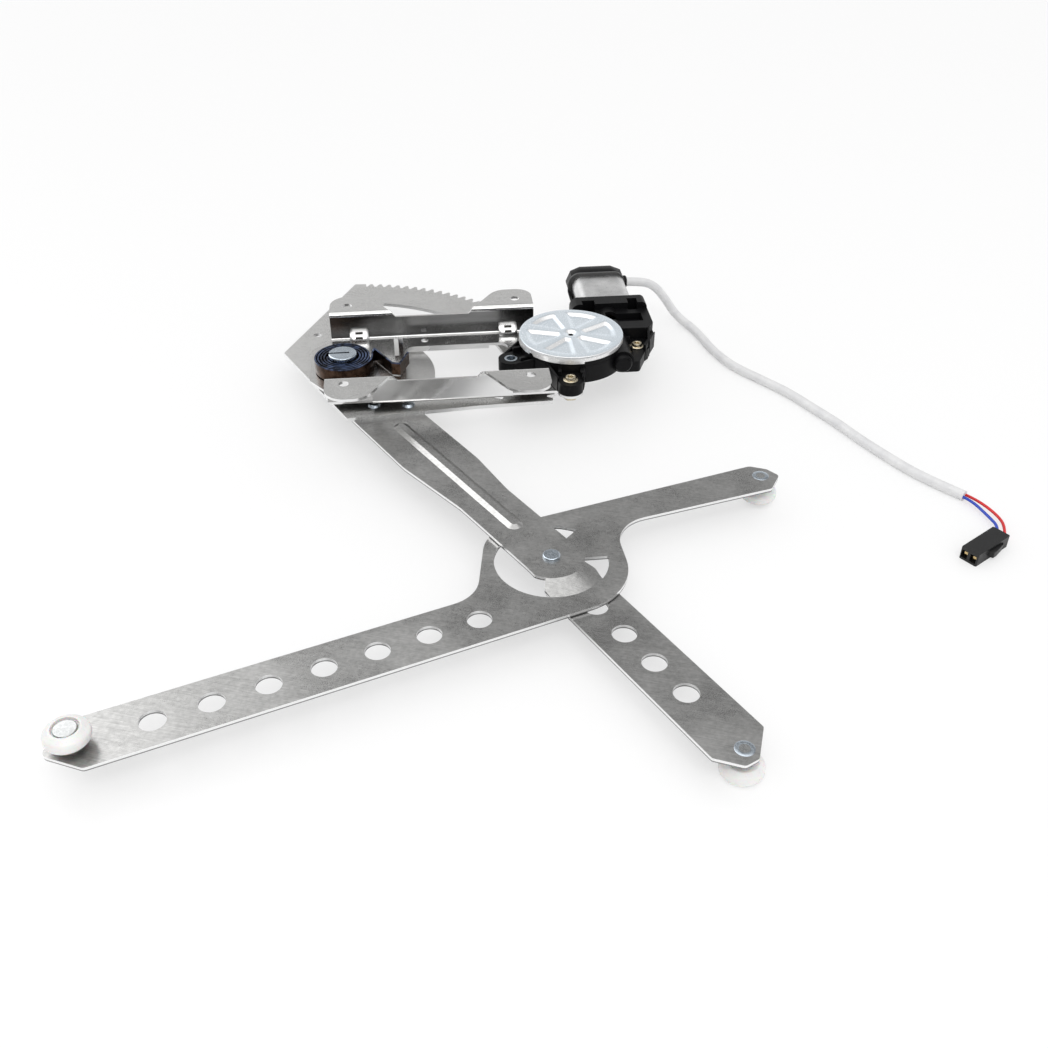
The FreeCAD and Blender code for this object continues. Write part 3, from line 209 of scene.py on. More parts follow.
def plain_metal(name, color, roughness, speckle=900, depth=0.00003, **sockets):
    s = Shader(name, color, metallic=1.0, roughness=roughness, **sockets)
    fine = s.noise(speckle, 3.0, 0.6)
    cloud = s.noise(70, 4.0, 0.6)
    dark = tuple(c * 0.72 for c in color)
    s.link(s.mix(s.ramp(cloud, 0.0, 1.0, 0.35, 0.7), dark, color), s.bsdf.inputs["Base Color"])
    s.link(s.ramp(fine, roughness - 0.06, roughness + 0.1, 0.3, 0.7), s.bsdf.inputs["Roughness"])
    s.bump(fine, depth, 0.5)
    return s.material


def moulded(name, color, roughness, speckle=1500, depth=0.00005, **sockets):
    s = Shader(name, color, roughness=roughness, **sockets)
    fine = s.noise(speckle, 3.0, 0.65)
    flow = s.noise(45, 3.0, 0.5, distortion=0.8)
    pale = tuple(min(1.0, c * 1.25 + 0.004) for c in color)
    s.link(s.mix(s.ramp(flow, 0.0, 0.6, 0.35, 0.75), color, pale), s.bsdf.inputs["Base Color"])
    s.link(s.ramp(fine, roughness - 0.06, roughness + 0.1, 0.3, 0.7), s.bsdf.inputs["Roughness"])
    s.bump(fine, depth, 0.6)
    return s.material


def cap_metal():
    """Pressed aluminium lid: satin, cool in tone, with a brighter rim."""
    s = Shader("lid metal", (0.70, 0.76, 0.83), metallic=0.6, roughness=0.30)
    fine = s.noise(1500, 3.0, 0.6)
    cloud = s.noise(60, 4.0, 0.6)
    base = s.mix(s.ramp(cloud, 0.0, 1.0, 0.35, 0.7), (0.72, 0.79, 0.85), (0.79, 0.85, 0.90))
    # Painted highlight: the panels' sloping sides that face -Y are painted paler, as the photograph
    # shows them
    normal = s.add("ShaderNodeSeparateXYZ")
    s.link(s.add("ShaderNodeNewGeometry").outputs["Normal"], normal.inputs[0])
    facing = s.ramp(normal.outputs[1], 1.0, 0.0, -0.26, -0.14)
    panel_highlight = s.math("MULTIPLY", facing, s.ramp(normal.outputs[2], 0.0, 1.0, 0.60, 0.75))
    base = s.mix(panel_highlight, base, (0.98, 0.98, 0.98))
    s.link(s.mix(s.side(0.2, 0.5), base, (0.86, 0.86, 0.86)), s.bsdf.inputs["Base Color"])
    s.link(s.ramp(fine, 0.24, 0.28, 0.3, 0.7), s.bsdf.inputs["Roughness"])
    s.bump(fine, 0.000002, 0.3)
    return s.material


def spring_steel():
    s = Shader("blued spring", (0.03, 0.035, 0.06), metallic=1.0, roughness=0.3)
    height = s.height()
    # The top is blued steel with paler blue streaks, a painted highlight; the sides are brown
    top = s.ramp(height, 0.0, 1.0, -0.0112, -0.0103)
    stain_and_sheen = s.noise(240, 4.0, 0.6)
    brown = s.mix(s.ramp(stain_and_sheen, 0.0, 1.0, 0.35, 0.7), (0.035, 0.020, 0.013), (0.10, 0.060, 0.042))
    blue = s.mix(s.ramp(stain_and_sheen, 0.0, 1.0, 0.4, 0.65), (0.012, 0.016, 0.030), (0.10, 0.14, 0.26))
    s.link(s.mix(top, brown, blue), s.bsdf.inputs["Base Color"])
    s.link(s.ramp(stain_and_sheen, 0.22, 0.42, 0.3, 0.7), s.bsdf.inputs["Roughness"])
    s.bump(stain_and_sheen, 0.00005, 0.5)
    return s.material


def sheath_vinyl():
    s = Shader("sheath vinyl", (0.62, 0.62, 0.62), roughness=0.42)
    s.bsdf.inputs["Subsurface Weight"].default_value = 0.05
    s.bsdf.inputs["Subsurface Radius"].default_value = (0.003, 0.003, 0.003)
    folds = s.noise(95, 3.0, 0.5, distortion=0.6)
    scuff = s.noise(210, 5.0, 0.7)
    marks = s.ramp(scuff, 0.0, 1.0, 0.70, 0.76)
    base = s.mix(s.ramp(folds, 0.0, 1.0, 0.3, 0.7), (0.66, 0.66, 0.67), (0.76, 0.76, 0.76))
    s.link(s.mix(marks, base, (0.30, 0.24, 0.18)), s.bsdf.inputs["Base Color"])
    s.bump(folds, 0.0007, 0.6)
    return s.material


MATERIALS = {
    "bracket_steel": sheet_steel("bracket zinc", 0.68, 0.22, 0.0, 0.85, 0.04, back_wall_painted_shade=0.20),
    "sector_steel": sheet_steel("sector zinc", 0.66, 0.30, 0.3, 0.80, 0.03),
    "arm_steel": sheet_steel("arm zinc", 0.43, 0.30, 0.34, 0.90, 0.07, band=0.62),
    "post_steel": plain_metal("turned post", (0.58, 0.65, 0.72), 0.22),
    "zinc_steel": plain_metal("bright zinc", (0.62, 0.69, 0.76), 0.24),
    "spring_steel": spring_steel(),
    "nylon": moulded("roller nylon", (0.74, 0.74, 0.73), 0.30, 700, 0.00003,
                     Subsurface_Weight=0.3, Subsurface_Scale=0.004),
    "stud_steel": plain_metal("stud steel", (0.55, 0.56, 0.56), 0.26),
    "black_plastic": moulded("black moulding", (0.004, 0.004, 0.0045), 0.36, 1500, 0.00004,
                             Specular_IOR_Level=0.12),
    "cap_metal": cap_metal(),
    "gear_nylon": moulded("wheel nylon", (0.80, 0.77, 0.66), 0.4),
    "cushion_rubber": moulded("rubber", (0.02, 0.02, 0.02), 0.55),
    "drive_steel": plain_metal("machined steel", (0.52, 0.52, 0.53), 0.28),
    "gold_zinc": plain_metal("yellow zinc", (0.74, 0.66, 0.50), 0.26),
    "can_steel": plain_metal("rolled can", (0.80, 0.80, 0.80), 0.32, 1200),
    "core_steel": plain_metal("rotor steel", (0.30, 0.30, 0.31), 0.4),
    "copper_wire": plain_metal("enamelled copper", (0.60, 0.28, 0.14), 0.32),
    "copper_bars": plain_metal("copper bars", (0.72, 0.42, 0.25), 0.28),
    "ferrite": moulded("ferrite", (0.06, 0.06, 0.065), 0.5),
    "holder_plastic": moulded("holder plastic", (0.05, 0.05, 0.05), 0.45),
    "carbon": moulded("carbon", (0.03, 0.03, 0.03), 0.5),
    "bronze": plain_metal("bronze", (0.60, 0.42, 0.24), 0.35),
    "sheath_vinyl": sheath_vinyl(),
    "red_vinyl": moulded("red wire", (0.62, 0.010, 0.012), 0.32),
    "blue_vinyl": moulded("blue wire", (0.012, 0.05, 0.42), 0.32),
    "plug_nylon": moulded("plug moulding", (0.008, 0.008, 0.0085), 0.36, Specular_IOR_Level=0.4),
    "terminal_brass": plain_metal("brass", (0.80, 0.60, 0.30), 0.24),
}

slot_of = {part["node"]: part["material_slot"] for part in frame["record"]["subparts"]}
BEVELS = {
    "mounting_bracket": 0.00035, "sector_gear": 0.00025, "cross_arm": 0.0003,
    "gear_housing": 0.0005, "gear_cap": 0.0003, "motor_can": 0.0003, "motor_end_cap": 0.0008,
    "plug_housing": 0.0004, "gearbox_screws": 0.0002, "pivot_post": 0.0003,
}
for name, obj in nodes.items():
    material = MATERIALS[slot_of[name]]
    if not obj.material_slots:
        obj.data.materials.append(material)
    for slot in obj.material_slots:
        slot.material = material
    if name in BEVELS:
        bevel = obj.modifiers.new("edge", "BEVEL")
        bevel.width = BEVELS[name]
        bevel.segments = 2
        bevel.limit_method = "ANGLE"
        bevel.angle_limit = math.radians(40)
        bevel.harden_normals = True
        bevel.use_clamp_overlap = True


def mesh_piece(name, build, body, slot, material=None, smooth=35):
    """A piece made in mesh code that rides on a body."""
    mesh = bpy.data.meshes.new(name)
    work = bmesh.new()
    build(work)
    bmesh.ops.recalc_face_normals(work, faces=work.faces)
    work.to_mesh(mesh)
    work.free()
    obj = bpy.data.objects.new(name, mesh)
    bpy.context.scene.collection.objects.link(obj)
    mesh.materials.append(material or MATERIALS[slot])
    mesh.polygons.foreach_set("use_smooth", [True] * len(mesh.polygons))
    mesh.set_sharp_from_angle(angle=math.radians(smooth))
    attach(obj, body)
    return obj


def join_rings(work, pairs):
    """Faces between pairs of rings with the same number of points."""
    for first, second in pairs:
        count = len(first)
        for k in range(count):
            after = (k + 1) % count
            work.faces.new((first[k], first[after], second[after], second[k]))


def lathe(work, centre, profile, segments=64, closed=False):
    """Turn radius and height points round an upright axis through a centre."""
    rings = []
    for radius, height in profile:
        ring = []
        for k in range(segments):
            angle = 2 * math.pi * k / segments
            ring.append(work.verts.new((centre[0] + radius * math.cos(angle),
                                        centre[1] + radius * math.sin(angle), centre[2] + height)))
        rings.append(ring)
    pairs = list(zip(rings, rings[1:]))
    if closed:
        pairs.append((rings[-1], rings[0]))
    join_rings(work, pairs)
    if not closed:
        for ring in (rings[0], rings[-1]):
            work.faces.new(ring)


# Cable and wires
def cord_curve(name, points, radius, node, slot):
    curve = bpy.data.curves.new(name, "CURVE")
    curve.dimensions = "3D"
    spline = curve.splines.new("NURBS")
    spline.points.add(len(points) - 1)
    for point, place in zip(spline.points, points):
        point.co = (place[0] / 1000, place[1] / 1000, place[2] / 1000, 1)
    spline.order_u = 3
    spline.use_endpoint_u = True
    spline.resolution_u = 12
    curve.bevel_depth = radius / 1000
    curve.bevel_resolution = 6
    curve.use_fill_caps = True
    obj = bpy.data.objects.new(name, curve)
    bpy.context.scene.collection.objects.link(obj)
    curve.materials.append(MATERIALS[slot])
    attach(obj, "base")
    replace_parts(obj, node)
    return obj


FLOOR_LINE = -46.4
CABLE = [(148.6, 101.0, -12.0), (163.0, 101.5, -12.5), (174.0, 107.0, -19.5),
         (183.0, 109.5, -31.0), (190.0, 106.0, -41.5), (196.0, 98.0, FLOOR_LINE + 0.6),
         (201.5, 86.0, FLOOR_LINE), (205.5, 68.0, FLOOR_LINE), (208.5, 49.5, FLOOR_LINE),
         (217.0, 24.0, FLOOR_LINE), (233.0, 2.0, FLOOR_LINE), (248.0, -19.0, FLOOR_LINE),
         (258.5, -41.0, FLOOR_LINE), (269.0, -61.5, FLOOR_LINE), (277.8, -84.0, FLOOR_LINE),
         (290.1, -109.0, FLOOR_LINE), (301.5, -130.0, FLOOR_LINE), (320.5, -153.0, FLOOR_LINE)]
RED = [(321.734, -151.981, -46.4), (326.829, -158.149, -46.4), (332.8, -173.5, -47.0),
       (331.5, -187.5, -45.7), (326.108, -197.758, -45.7)]
BLUE = [(319.266, -154.019, -46.4), (323.088, -158.645, -46.4), (327.0, -175.5, -47.0),
        (327.3, -186.5, -45.7), (323.536, -193.706, -45.7)]
cord_curve("cable_cover", CABLE, 3.3, "cable_sheath", "sheath_vinyl")
cord_curve("red_lead", RED, 0.9, "red_wire", "red_vinyl")
cord_curve("blue_lead", BLUE, 0.9, "blue_wire", "blue_vinyl")


# Lid of the gear housing with six sunk panels
LID = Vector((0.0937, 0.0005, 0.0))
LID_RADIUS = 0.0359
LID_TOP = -0.0008
LID_LOW = -0.0058
RIM_ROUND = 0.0009
RIM_GAUGE = 0.0014
HOLE_RADIUS = 0.0020
HOLE_DEPTH = 0.0016
HUB_RADIUS = 0.0045
HUB_DEPTH = 0.0002
PANEL_DEPTH = 0.0016
PANEL_TURN = 7
NOTCHES = ((-150, -142), (-58, -50))
NOTCH_TOP = -0.0042


def lid(work):
    steps = 180
    # Heights fall into the panels over a wide, soft slope
    radii = [0.0017, 0.0040, 0.0060, 0.0070, 0.0078, 0.0086, 0.0094, 0.0102, 0.0112, 0.0150, 0.0190,
             0.0230, 0.0258, 0.0268, 0.0276, 0.0284, 0.0292, 0.0300, 0.0308, 0.0316, 0.0335, 0.0347,
             0.0352, 0.0356, LID_RADIUS]

    def soft(value, start, width):
        share = min(max((value - start) / width, 0), 1)
        return share * share * (3 - 2 * share)

    def sink(radius, angle):
        turn = (math.degrees(angle) - PANEL_TURN + 30) % 60 - 30
        from_spoke = radius * math.sin(math.radians(30 - abs(turn)))
        rise = soft(from_spoke, 0.0006 + 0.10 * radius, 0.0036)
        rise = min(rise, soft(radius, 0.0072, 0.0036), soft(0.0312 - radius, 0.0, 0.0042))
        return PANEL_DEPTH * rise

    rings = []
    for radius in radii:
        ring = []
        for k in range(steps):
            angle = 2 * math.pi * k / steps
            drop = sink(radius, angle)
            if radius > LID_RADIUS - RIM_ROUND:
                out = radius - (LID_RADIUS - RIM_ROUND)
                drop = RIM_ROUND - math.sqrt(max(RIM_ROUND ** 2 - out ** 2, 0))
            if radius < HOLE_RADIUS:
                drop = HOLE_DEPTH
            elif radius < HUB_RADIUS:
                drop = HUB_DEPTH
            ring.append(work.verts.new((LID.x + radius * math.cos(angle),
                                        LID.y + radius * math.sin(angle), LID_TOP - drop)))
        rings.append(ring)
    for level in (-0.0026, -0.0046, LID_LOW):
        ring = []
        for k in range(steps):
            angle = 2 * math.pi * k / steps
            degrees = (math.degrees(angle) + 180) % 360 - 180
            low = level
            notched = any(start < degrees < end for start, end in NOTCHES)
            if notched and level < NOTCH_TOP:
                low = NOTCH_TOP
            ring.append(work.verts.new((LID.x + LID_RADIUS * math.cos(angle),
                                        LID.y + LID_RADIUS * math.sin(angle), low)))
        rings.append(ring)
    inner = []
    for k in range(steps):
        angle = 2 * math.pi * k / steps
        low = rings[-1][k].co.z
        inner.append(work.verts.new((LID.x + (LID_RADIUS - RIM_GAUGE) * math.cos(angle),
                                     LID.y + (LID_RADIUS - RIM_GAUGE) * math.sin(angle), low)))
    rings.append(inner)
    join_rings(work, zip(rings, rings[1:]))


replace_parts(mesh_piece("pressed_lid", lid, "base", "cap_metal"), "gear_cap")


def drum_collar(work):
    """Upper edge of the drum, seen below the lid's rim."""
    lathe(work, (GEAR.x, GEAR.y, 0), [(0.0353, -0.0082), (0.0353, -0.0044), (0.0330, -0.0044),
                                      (0.0330, -0.0082)], segments=96, closed=True)


mesh_piece("drum_collar", drum_collar, "base", "black_plastic")


# Motor: flattened can in a black cradle with its end cap
def motor_section(half_width, half_height, corner, count=10):
    """Points of a rounded rectangle in x and z about the motor's axis."""
    points = []
    for cx, cz, start in ((1, 1, 0), (-1, 1, 90), (-1, -1, 180), (1, -1, 270)):
        for k in range(count + 1):
            angle = math.radians(start + 90 * k / count)
            points.append((cx * (half_width - corner) + corner * math.cos(angle),
                           cz * (half_height - corner) + corner * math.sin(angle)))
    return points


MOTOR_Z = -0.0128
CAN_SHIFT = 0.0012
COVER_SHIFT = 0.0008


def loft(work, sections):
    """Join sections, each a list of points in x and z with its y and its shift in x."""
    rings = [[work.verts.new((WORM_X + x + shift, y, MOTOR_Z + z)) for x, z in points]
             for points, y, shift in sections]
    join_rings(work, zip(rings, rings[1:]))
    work.faces.new(rings[0])
    work.faces.new(rings[-1])


def motor_shell(work):
    loft(work, [(motor_section(0.0198, 0.0098, 0.0072), 0.0545, CAN_SHIFT),
                (motor_section(0.0198, 0.0098, 0.0072), 0.0975, CAN_SHIFT)])


def end_cover(work):
    loft(work, [(motor_section(0.0203, 0.0102, 0.0076, 2), 0.0955, COVER_SHIFT),
                (motor_section(0.0224, 0.0110, 0.0104, 2), 0.0962, COVER_SHIFT),
                (motor_section(0.0224, 0.0110, 0.0104, 2), 0.1082, COVER_SHIFT),
                (motor_section(0.0214, 0.0102, 0.0096, 2), 0.1108, COVER_SHIFT),
                (motor_section(0.0190, 0.0084, 0.0080, 2), 0.1122, COVER_SHIFT)])


def cradle(work):
    """Black shell under and beside the can, open above."""
    outer = motor_section(0.0218, 0.0112, 0.0096)
    inner = motor_section(0.0201, 0.0101, 0.0080)
    keep = [k for k, (x, z) in enumerate(outer) if z < 0.0004]
    order = sorted(keep, key=lambda k: math.atan2(outer[k][0], -outer[k][1]))
    rows = []
    for ring in (outer, inner):
        for y in (0.0550, 0.0960):
            rows.append([work.verts.new((WORM_X + ring[k][0], y, MOTOR_Z + ring[k][1]))
                         for k in order])
    out_near, out_far, in_near, in_far = rows
    for k in range(len(order) - 1):
        work.faces.new((out_near[k], out_near[k + 1], out_far[k + 1], out_far[k]))
        work.faces.new((in_near[k], in_far[k], in_far[k + 1], in_near[k + 1]))
        work.faces.new((out_near[k], in_near[k], in_near[k + 1], out_near[k + 1]))
        work.faces.new((out_far[k], out_far[k + 1], in_far[k + 1], in_far[k]))
    for k in (0, -1):
        work.faces.new((out_near[k], out_far[k], in_far[k], in_near[k]))


def magnet_pair(work):
    """Two curved magnets inside the can, clear of the rotor."""
    rotor = [corner[0] for corner in nodes["rotor_core"].bound_box]
    bore = (max(rotor) - min(rotor)) / 2 + 0.0005
    shell = motor_section(0.0186, 0.0086, 0.0062)
    for sign in (-1, 1):
        outside = sorted(((x, z) for x, z in shell if sign * x > 0.0122), key=lambda point: point[1])
        inside = [(sign * bore * math.cos(math.radians(turn)), bore * math.sin(math.radians(turn)))
                  for turn in range(40, -41, -10)]
        loft(work, [(outside + inside, 0.060, CAN_SHIFT), (outside + inside, 0.090, CAN_SHIFT)])


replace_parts(mesh_piece("motor_shell", motor_shell, "base", "can_steel"), "motor_can")
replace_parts(mesh_piece("magnet_pair", magnet_pair, "base", "ferrite"), "magnets")
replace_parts(mesh_piece("end_cover", end_cover, "base", "black_plastic"), "motor_end_cap")
mesh_piece("motor_cradle", cradle, "base", "black_plastic")


LEAD_EXIT = Vector((0.1465, 0.101, -0.012))
GRIP_PROFILE = [(0.0030, 0.0), (0.0048, 0.0), (0.0048, 0.0028), (0.0042, 0.0034), (0.0036, 0.0036)]


def lead_grip(work):
    """Moulded grip where the cable leaves the motor, turned round the X axis."""
    segments = 40
    rings = []
    for radius, along in GRIP_PROFILE:
        ring = []
        for k in range(segments):
            angle = 2 * math.pi * k / segments
            ring.append(work.verts.new((LEAD_EXIT.x + along, LEAD_EXIT.y + radius * math.cos(angle),
                                        LEAD_EXIT.z + radius * math.sin(angle))))
        rings.append(ring)
    join_rings(work, zip(rings, rings[1:]))


mesh_piece("lead_grip", lead_grip, "base", "black_plastic")


# Flanged screw heads with a socket, and their shanks
FRONT_SCREW = (0.08771, -0.04445)
RIGHT_SCREW = (0.13969, -0.00236)
SCREW_TOP = -0.0094
HEAD_PROFILE = [(0.0050, -0.0026), (0.0050, -0.0021), (0.0046, -0.0019), (0.0036, -0.0018),
                (0.0035, -0.0005), (0.0031, 0.0), (0.0021, 0.0), (0.0019, -0.0002), (0.0018, -0.0016)]


def screw_head(centre):
    return lambda work: lathe(work, (*centre, SCREW_TOP), HEAD_PROFILE)


front_head = mesh_piece("screw_head_front", screw_head(FRONT_SCREW), "base", "gold_zinc")
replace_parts(front_head, "gearbox_screws")
mesh_piece("screw_head_right", screw_head(RIGHT_SCREW), "base", "gold_zinc")


def screw_shanks(work):
    for x, y in (FRONT_SCREW, RIGHT_SCREW):
        lathe(work, (x, y, -0.012), [(0.0028, 0.0), (0.0028, -0.0136), (0.0022, -0.0140)], segments=32)


mesh_piece("screw_shanks", screw_shanks, "base", "gold_zinc")


# Pressed gussets at the foot of the back wall, painted pale as a painted highlight, each with two
# slots drawn as thin dark sheets, a painted reflection
WALL_Y = 0.0442
FLOOR_TOP = -0.0200
GUSSET_RUN = 0.0094
GUSSET_RISE = 0.0078


def pillow(work, x, half, start=0.0, end=1.0, lift=0.0):
    """A rounded hump between wall and floor, from the wall (0) to the floor (1)."""
    across, down = 16, 14
    grid = []
    for i in range(across + 1):
        u = 2 * i / across - 1
        size = (1 - abs(u) ** 6) ** (1 / 6) if abs(u) < 1 else 0.0
        row = []
        for k in range(down + 1):
            turn = math.radians(90 * (start + (end - start) * k / down))
            row.append(work.verts.new((x + u * half,
                                       WALL_Y - (GUSSET_RUN * size + lift) * math.sin(turn),
                                       FLOOR_TOP + (GUSSET_RISE * size + lift) * math.cos(turn))))
        grid.append(row)
    for first, second in zip(grid, grid[1:]):
        for k in range(down):
            work.faces.new((first[k], first[k + 1], second[k + 1], second[k]))


# Painted highlight: the gussets are painted pale
gusset_painted_highlight = sheet_steel("bright bend", 0.92, 0.30, 0.0, 0.92, 0.02)
# Painted reflection: thin dark sheets on each gusset
slot_shade = Shader("slot shade", (0.03, 0.028, 0.025), roughness=0.8).material
for index, x in enumerate((-0.0525, 0.0535)):
    mesh_piece("gusset_%d" % index, lambda work: pillow(work, x, 0.0074), "base",
               "bracket_steel", gusset_painted_highlight)
    for number, start in enumerate((0.30, 0.58)):
        mesh_piece("gusset_%d_slot_%d" % (index, number),
                   lambda work: pillow(work, x, 0.0040, start, start + 0.14, 0.00012),
                   "base", "bracket_steel", slot_shade)


# Lift arm with its bead drawn in to sloping sides
BEAD_FROM, BEAD_TO, BEAD_HALF = 0.072, 0.210, 0.005
BEAD_CREST = 0.42


def lift_form(work):
    work.from_mesh(nodes["lift_arm"].data)
    way = (CROSS_PIN - PIVOT).normalized()
    side = Vector((-way.y, way.x, 0))
    for vert in work.verts:
        if vert.co.z < LIFT_TOP + 0.0008:
            continue
        along, across = (vert.co - PIVOT).dot(way), (vert.co - PIVOT).dot(side)
        centre = min(max(along, BEAD_FROM + BEAD_HALF), BEAD_TO - BEAD_HALF)
        vert.co += (way * (along - centre) + side * across) * (BEAD_CREST - 1)


lift_visual = mesh_piece("lift_arm_form", lift_form, "lift", "arm_steel", smooth=28)
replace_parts(lift_visual, "lift_arm")


# Peened ends of the roller studs, each a low button with a rounded rim
def peened_head(centre, top):
    def build(work):
        lathe(work, (centre.x, centre.y, top), [
            (0.0050, -0.0006), (0.0050, 0.0), (0.0047, 0.00012), (0.0030, 0.00018), (0.0024, 0.00010),
            (0.0010, 0.00006)], segments=48)
    return build


mesh_piece("right_stud_head", peened_head(RIGHT_END, -0.0303), "cross", "zinc_steel")
mesh_piece("lower_stud_head", peened_head(LOWER_END, -0.0329), "lift", "zinc_steel")


def tab_face(work):
    """Pale face on the front of the spring tab, a painted highlight."""
    corners = [(-0.0276, -0.0138), (-0.0246, -0.0138), (-0.0246, -0.0016),
               (-0.0252, -0.0010), (-0.0276, -0.0010)]
    near = [work.verts.new((x, 0.0038, z)) for x, z in corners]
    far = [work.verts.new((x, 0.0041, z)) for x, z in corners]
    for k in range(len(corners)):
        n = (k + 1) % len(corners)
        work.faces.new((near[k], near[n], far[n], far[k]))
    work.faces.new(near)
    work.faces.new(far)


# A painted highlight on the spring tab
painted_highlight = Shader("polished tab", (0.90, 0.90, 0.89), metallic=0.15, roughness=0.25).material
mesh_piece("tab_face", tab_face, "base", "bracket_steel", painted_highlight)


# Walls and webs of the gear housing
def web(work, start, end, thick, low, high_start, high_end):
    """An upright wall between two points in millimetres, its top sloping."""
    a, b = Vector((*start, 0)) / 1000, Vector((*end, 0)) / 1000
    side = Vector((-(b - a).y, (b - a).x, 0)).normalized() * thick / 2000
    corners = []
    for point, high in ((a, high_start), (b, high_end)):
        for sign in (-1, 1):
            for level in (low, high):
                corners.append(work.verts.new((point.x + sign * side.x, point.y + sign * side.y,
                                               level / 1000)))
    for quad in ((0, 1, 3, 2), (4, 6, 7, 5), (0, 4, 5, 1), (2, 3, 7, 6), (1, 5, 7, 3), (0, 2, 6, 4)):
        work.faces.new([corners[k] for k in quad])


WEBS = [
    ((74.0, -27.5), (79.4, -45.2), 1.5, -19.8, -7.6, -9.4),
    ((98.8, -33.6), (95.9, -45.6), 1.5, -19.8, -7.6, -9.4),
    ((70.0, 24.5), (47.8, -3.4), 1.6, -19.8, -8.0, -11.8),
    ((66.0, -20.5), (53.0, -18.6), 1.6, -19.8, -8.0, -11.8),
    ((147.8, -4.0), (149.6, 9.0), 1.6, -19.8, -9.0, -4.0),
    ((130.6, 10.0), (149.0, 9.0), 1.6, -19.8, -3.8, -3.6),
]


def housing_webs(work):
    for wall in WEBS:
        web(work, *wall)


webs = mesh_piece("housing_webs", housing_webs, "base", "black_plastic")
rounding = webs.modifiers.new("edge", "BEVEL")
rounding.width = 0.0003
rounding.segments = 2


# Floor, light and camera
def stage_floor():
    mesh = bpy.data.meshes.new("table")
    work = bmesh.new()
    bmesh.ops.create_grid(work, x_segments=8, y_segments=8, size=6.0)
    bmesh.ops.translate(work, verts=work.verts, vec=(0, 0, TABLE - 0.00005))
    work.to_mesh(mesh)
    work.free()
    table = bpy.data.objects.new("table", mesh)
    bpy.context.scene.collection.objects.link(table)
    s = Shader("table white", (0.93, 0.93, 0.93), roughness=0.28)
    s.bsdf.inputs["Specular IOR Level"].default_value = 0.35
    # The camera sees the table as white, with its shadows softened
    rays = s.add("ShaderNodeLightPath")
    white = s.add("ShaderNodeEmission")
    white.inputs["Color"].default_value = (1, 1, 1, 1)
    blend = s.add("ShaderNodeMixShader")
    s.link(s.math("MULTIPLY", rays.outputs["Is Camera Ray"], 0.55), blend.inputs["Fac"])
    s.link(s.bsdf.outputs[0], blend.inputs[1])
    s.link(white.outputs[0], blend.inputs[2])
    s.link(blend.outputs[0], s.tree.nodes["Material Output"].inputs["Surface"])
    mesh.materials.append(s.material)


def area_light(name, place, target, size, size_y, power):
    light = bpy.data.lights.new(name, "AREA")
    light.shape = "RECTANGLE"
    light.size = size
    light.size_y = size_y
    light.energy = power
    obj = bpy.data.objects.new(name, light)
    bpy.context.scene.collection.objects.link(obj)
    way = Vector(target) - Vector(place)
    obj.matrix_world = Matrix.Translation(place) @ way.to_track_quat("-Z", "Y").to_matrix().to_4x4()


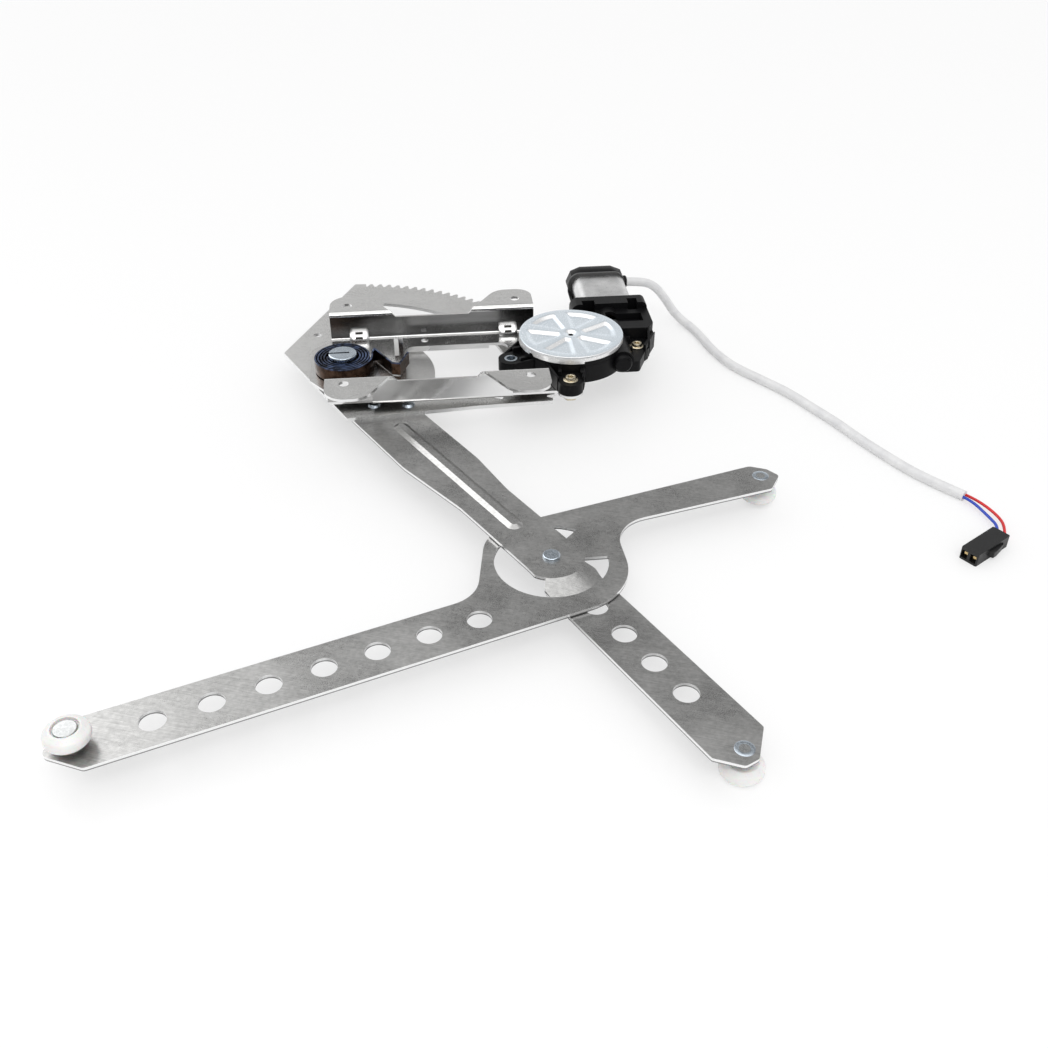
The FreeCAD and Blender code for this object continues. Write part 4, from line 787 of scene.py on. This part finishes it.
def studio():
    scene = bpy.context.scene
    world = bpy.data.worlds.new("studio")
    scene.world = world
    world.use_nodes = True
    tree = world.node_tree
    background = tree.nodes["Background"]
    place = tree.nodes.new("ShaderNodeTexCoord")
    parts = tree.nodes.new("ShaderNodeSeparateXYZ")
    tree.links.new(place.outputs["Generated"], parts.inputs[0])

    def span(source, start, end, low=0.0, high=1.0):
        node = tree.nodes.new("ShaderNodeMapRange")
        node.interpolation_type = "SMOOTHSTEP"
        for key, value in (("From Min", start), ("From Max", end), ("To Min", low), ("To Max", high)):
            node.inputs[key].default_value = value
        tree.links.new(source, node.inputs["Value"])
        return node.outputs["Result"]

    def by_height(stops):
        node = tree.nodes.new("ShaderNodeValToRGB")
        elements = node.color_ramp.elements
        while len(elements) < len(stops):
            elements.new(0.5)
        for element, (position, value) in zip(elements, stops):
            element.position = position
            element.color = (value, value, value, 1)
        tree.links.new(parts.outputs[2], node.inputs["Fac"])
        return node.outputs["Color"]

    def blended(share, first, second):
        node = tree.nodes.new("ShaderNodeMix")
        node.data_type = "RGBA"
        sockets = (node.inputs[0], node.inputs[6], node.inputs[7])
        for socket, value in zip(sockets, (share, first, second)):
            if isinstance(value, tuple):
                socket.default_value = value
            else:
                tree.links.new(value, socket)
        return node.outputs[2]

    # The room that metal reflects: a pale backdrop that greys upwards, a light above,
    # the dark room behind the camera, and a soft light far to the left
    backdrop = by_height(((0.0, 0.95), (0.20, 0.88), (0.38, 0.80), (0.50, 0.56), (0.58, 0.27),
                          (0.66, 0.25), (0.72, 0.32), (0.80, 0.50), (0.91, 1.70)))
    behind = by_height(((0.0, 0.05), (0.35, 0.07), (0.50, 0.15), (0.60, 0.80), (0.80, 1.30),
                        (1.0, 1.25)))
    room = blended(span(parts.outputs[1], -0.15, 0.25), behind, backdrop)
    toward = tree.nodes.new("ShaderNodeVectorMath")
    toward.operation = "DOT_PRODUCT"
    toward.inputs[1].default_value = Vector((-0.62, 0.45, 0.64)).normalized()
    tree.links.new(place.outputs["Generated"], toward.inputs[0])
    room = blended(span(toward.outputs["Value"], 0.74, 0.88, 0.0, 0.65), room, (1.0, 1.0, 1.0, 1))
    room = blended(span(toward.outputs["Value"], 0.875, 0.915), room, (2.6, 2.6, 2.6, 1))
    reflected = tree.nodes.new("ShaderNodeBackground")
    tree.links.new(room, reflected.inputs["Color"])
    background.inputs["Color"].default_value = (1, 1, 1, 1)
    background.inputs["Strength"].default_value = 0.98
    rays = tree.nodes.new("ShaderNodeLightPath")
    choice = tree.nodes.new("ShaderNodeMixShader")
    tree.links.new(rays.outputs["Is Glossy Ray"], choice.inputs["Fac"])
    tree.links.new(background.outputs[0], choice.inputs[1])
    tree.links.new(reflected.outputs[0], choice.inputs[2])
    tree.links.new(choice.outputs[0], tree.nodes["World Output"].inputs["Surface"])
    area_light("front softbox", (0.05, -1.1, 1.45), (0.05, -0.1, 0), 1.3, 0.6, 6)
    camera = bpy.data.cameras.new("camera")
    camera.sensor_width = 36
    camera.lens = 39.98
    camera.clip_start = 0.01
    camera.clip_end = 50
    holder = bpy.data.objects.new("camera", camera)
    scene.collection.objects.link(holder)
    right = Vector((0.9949, -0.1013, 0.0001))
    forward = Vector((0.0813, 0.7982, -0.5969)).normalized()
    right = (right - forward * right.dot(forward)).normalized()
    up = right.cross(forward)
    turn = Matrix((right, up, -forward)).transposed().to_4x4()
    holder.matrix_world = Matrix.Translation((-0.01136, -0.71258, 0.37102)) @ turn
    scene.camera = holder
    scene.view_settings.view_transform = "Standard"
    scene.view_settings.look = "None"
    scene.view_settings.exposure = 0.0


stage_floor()
studio()
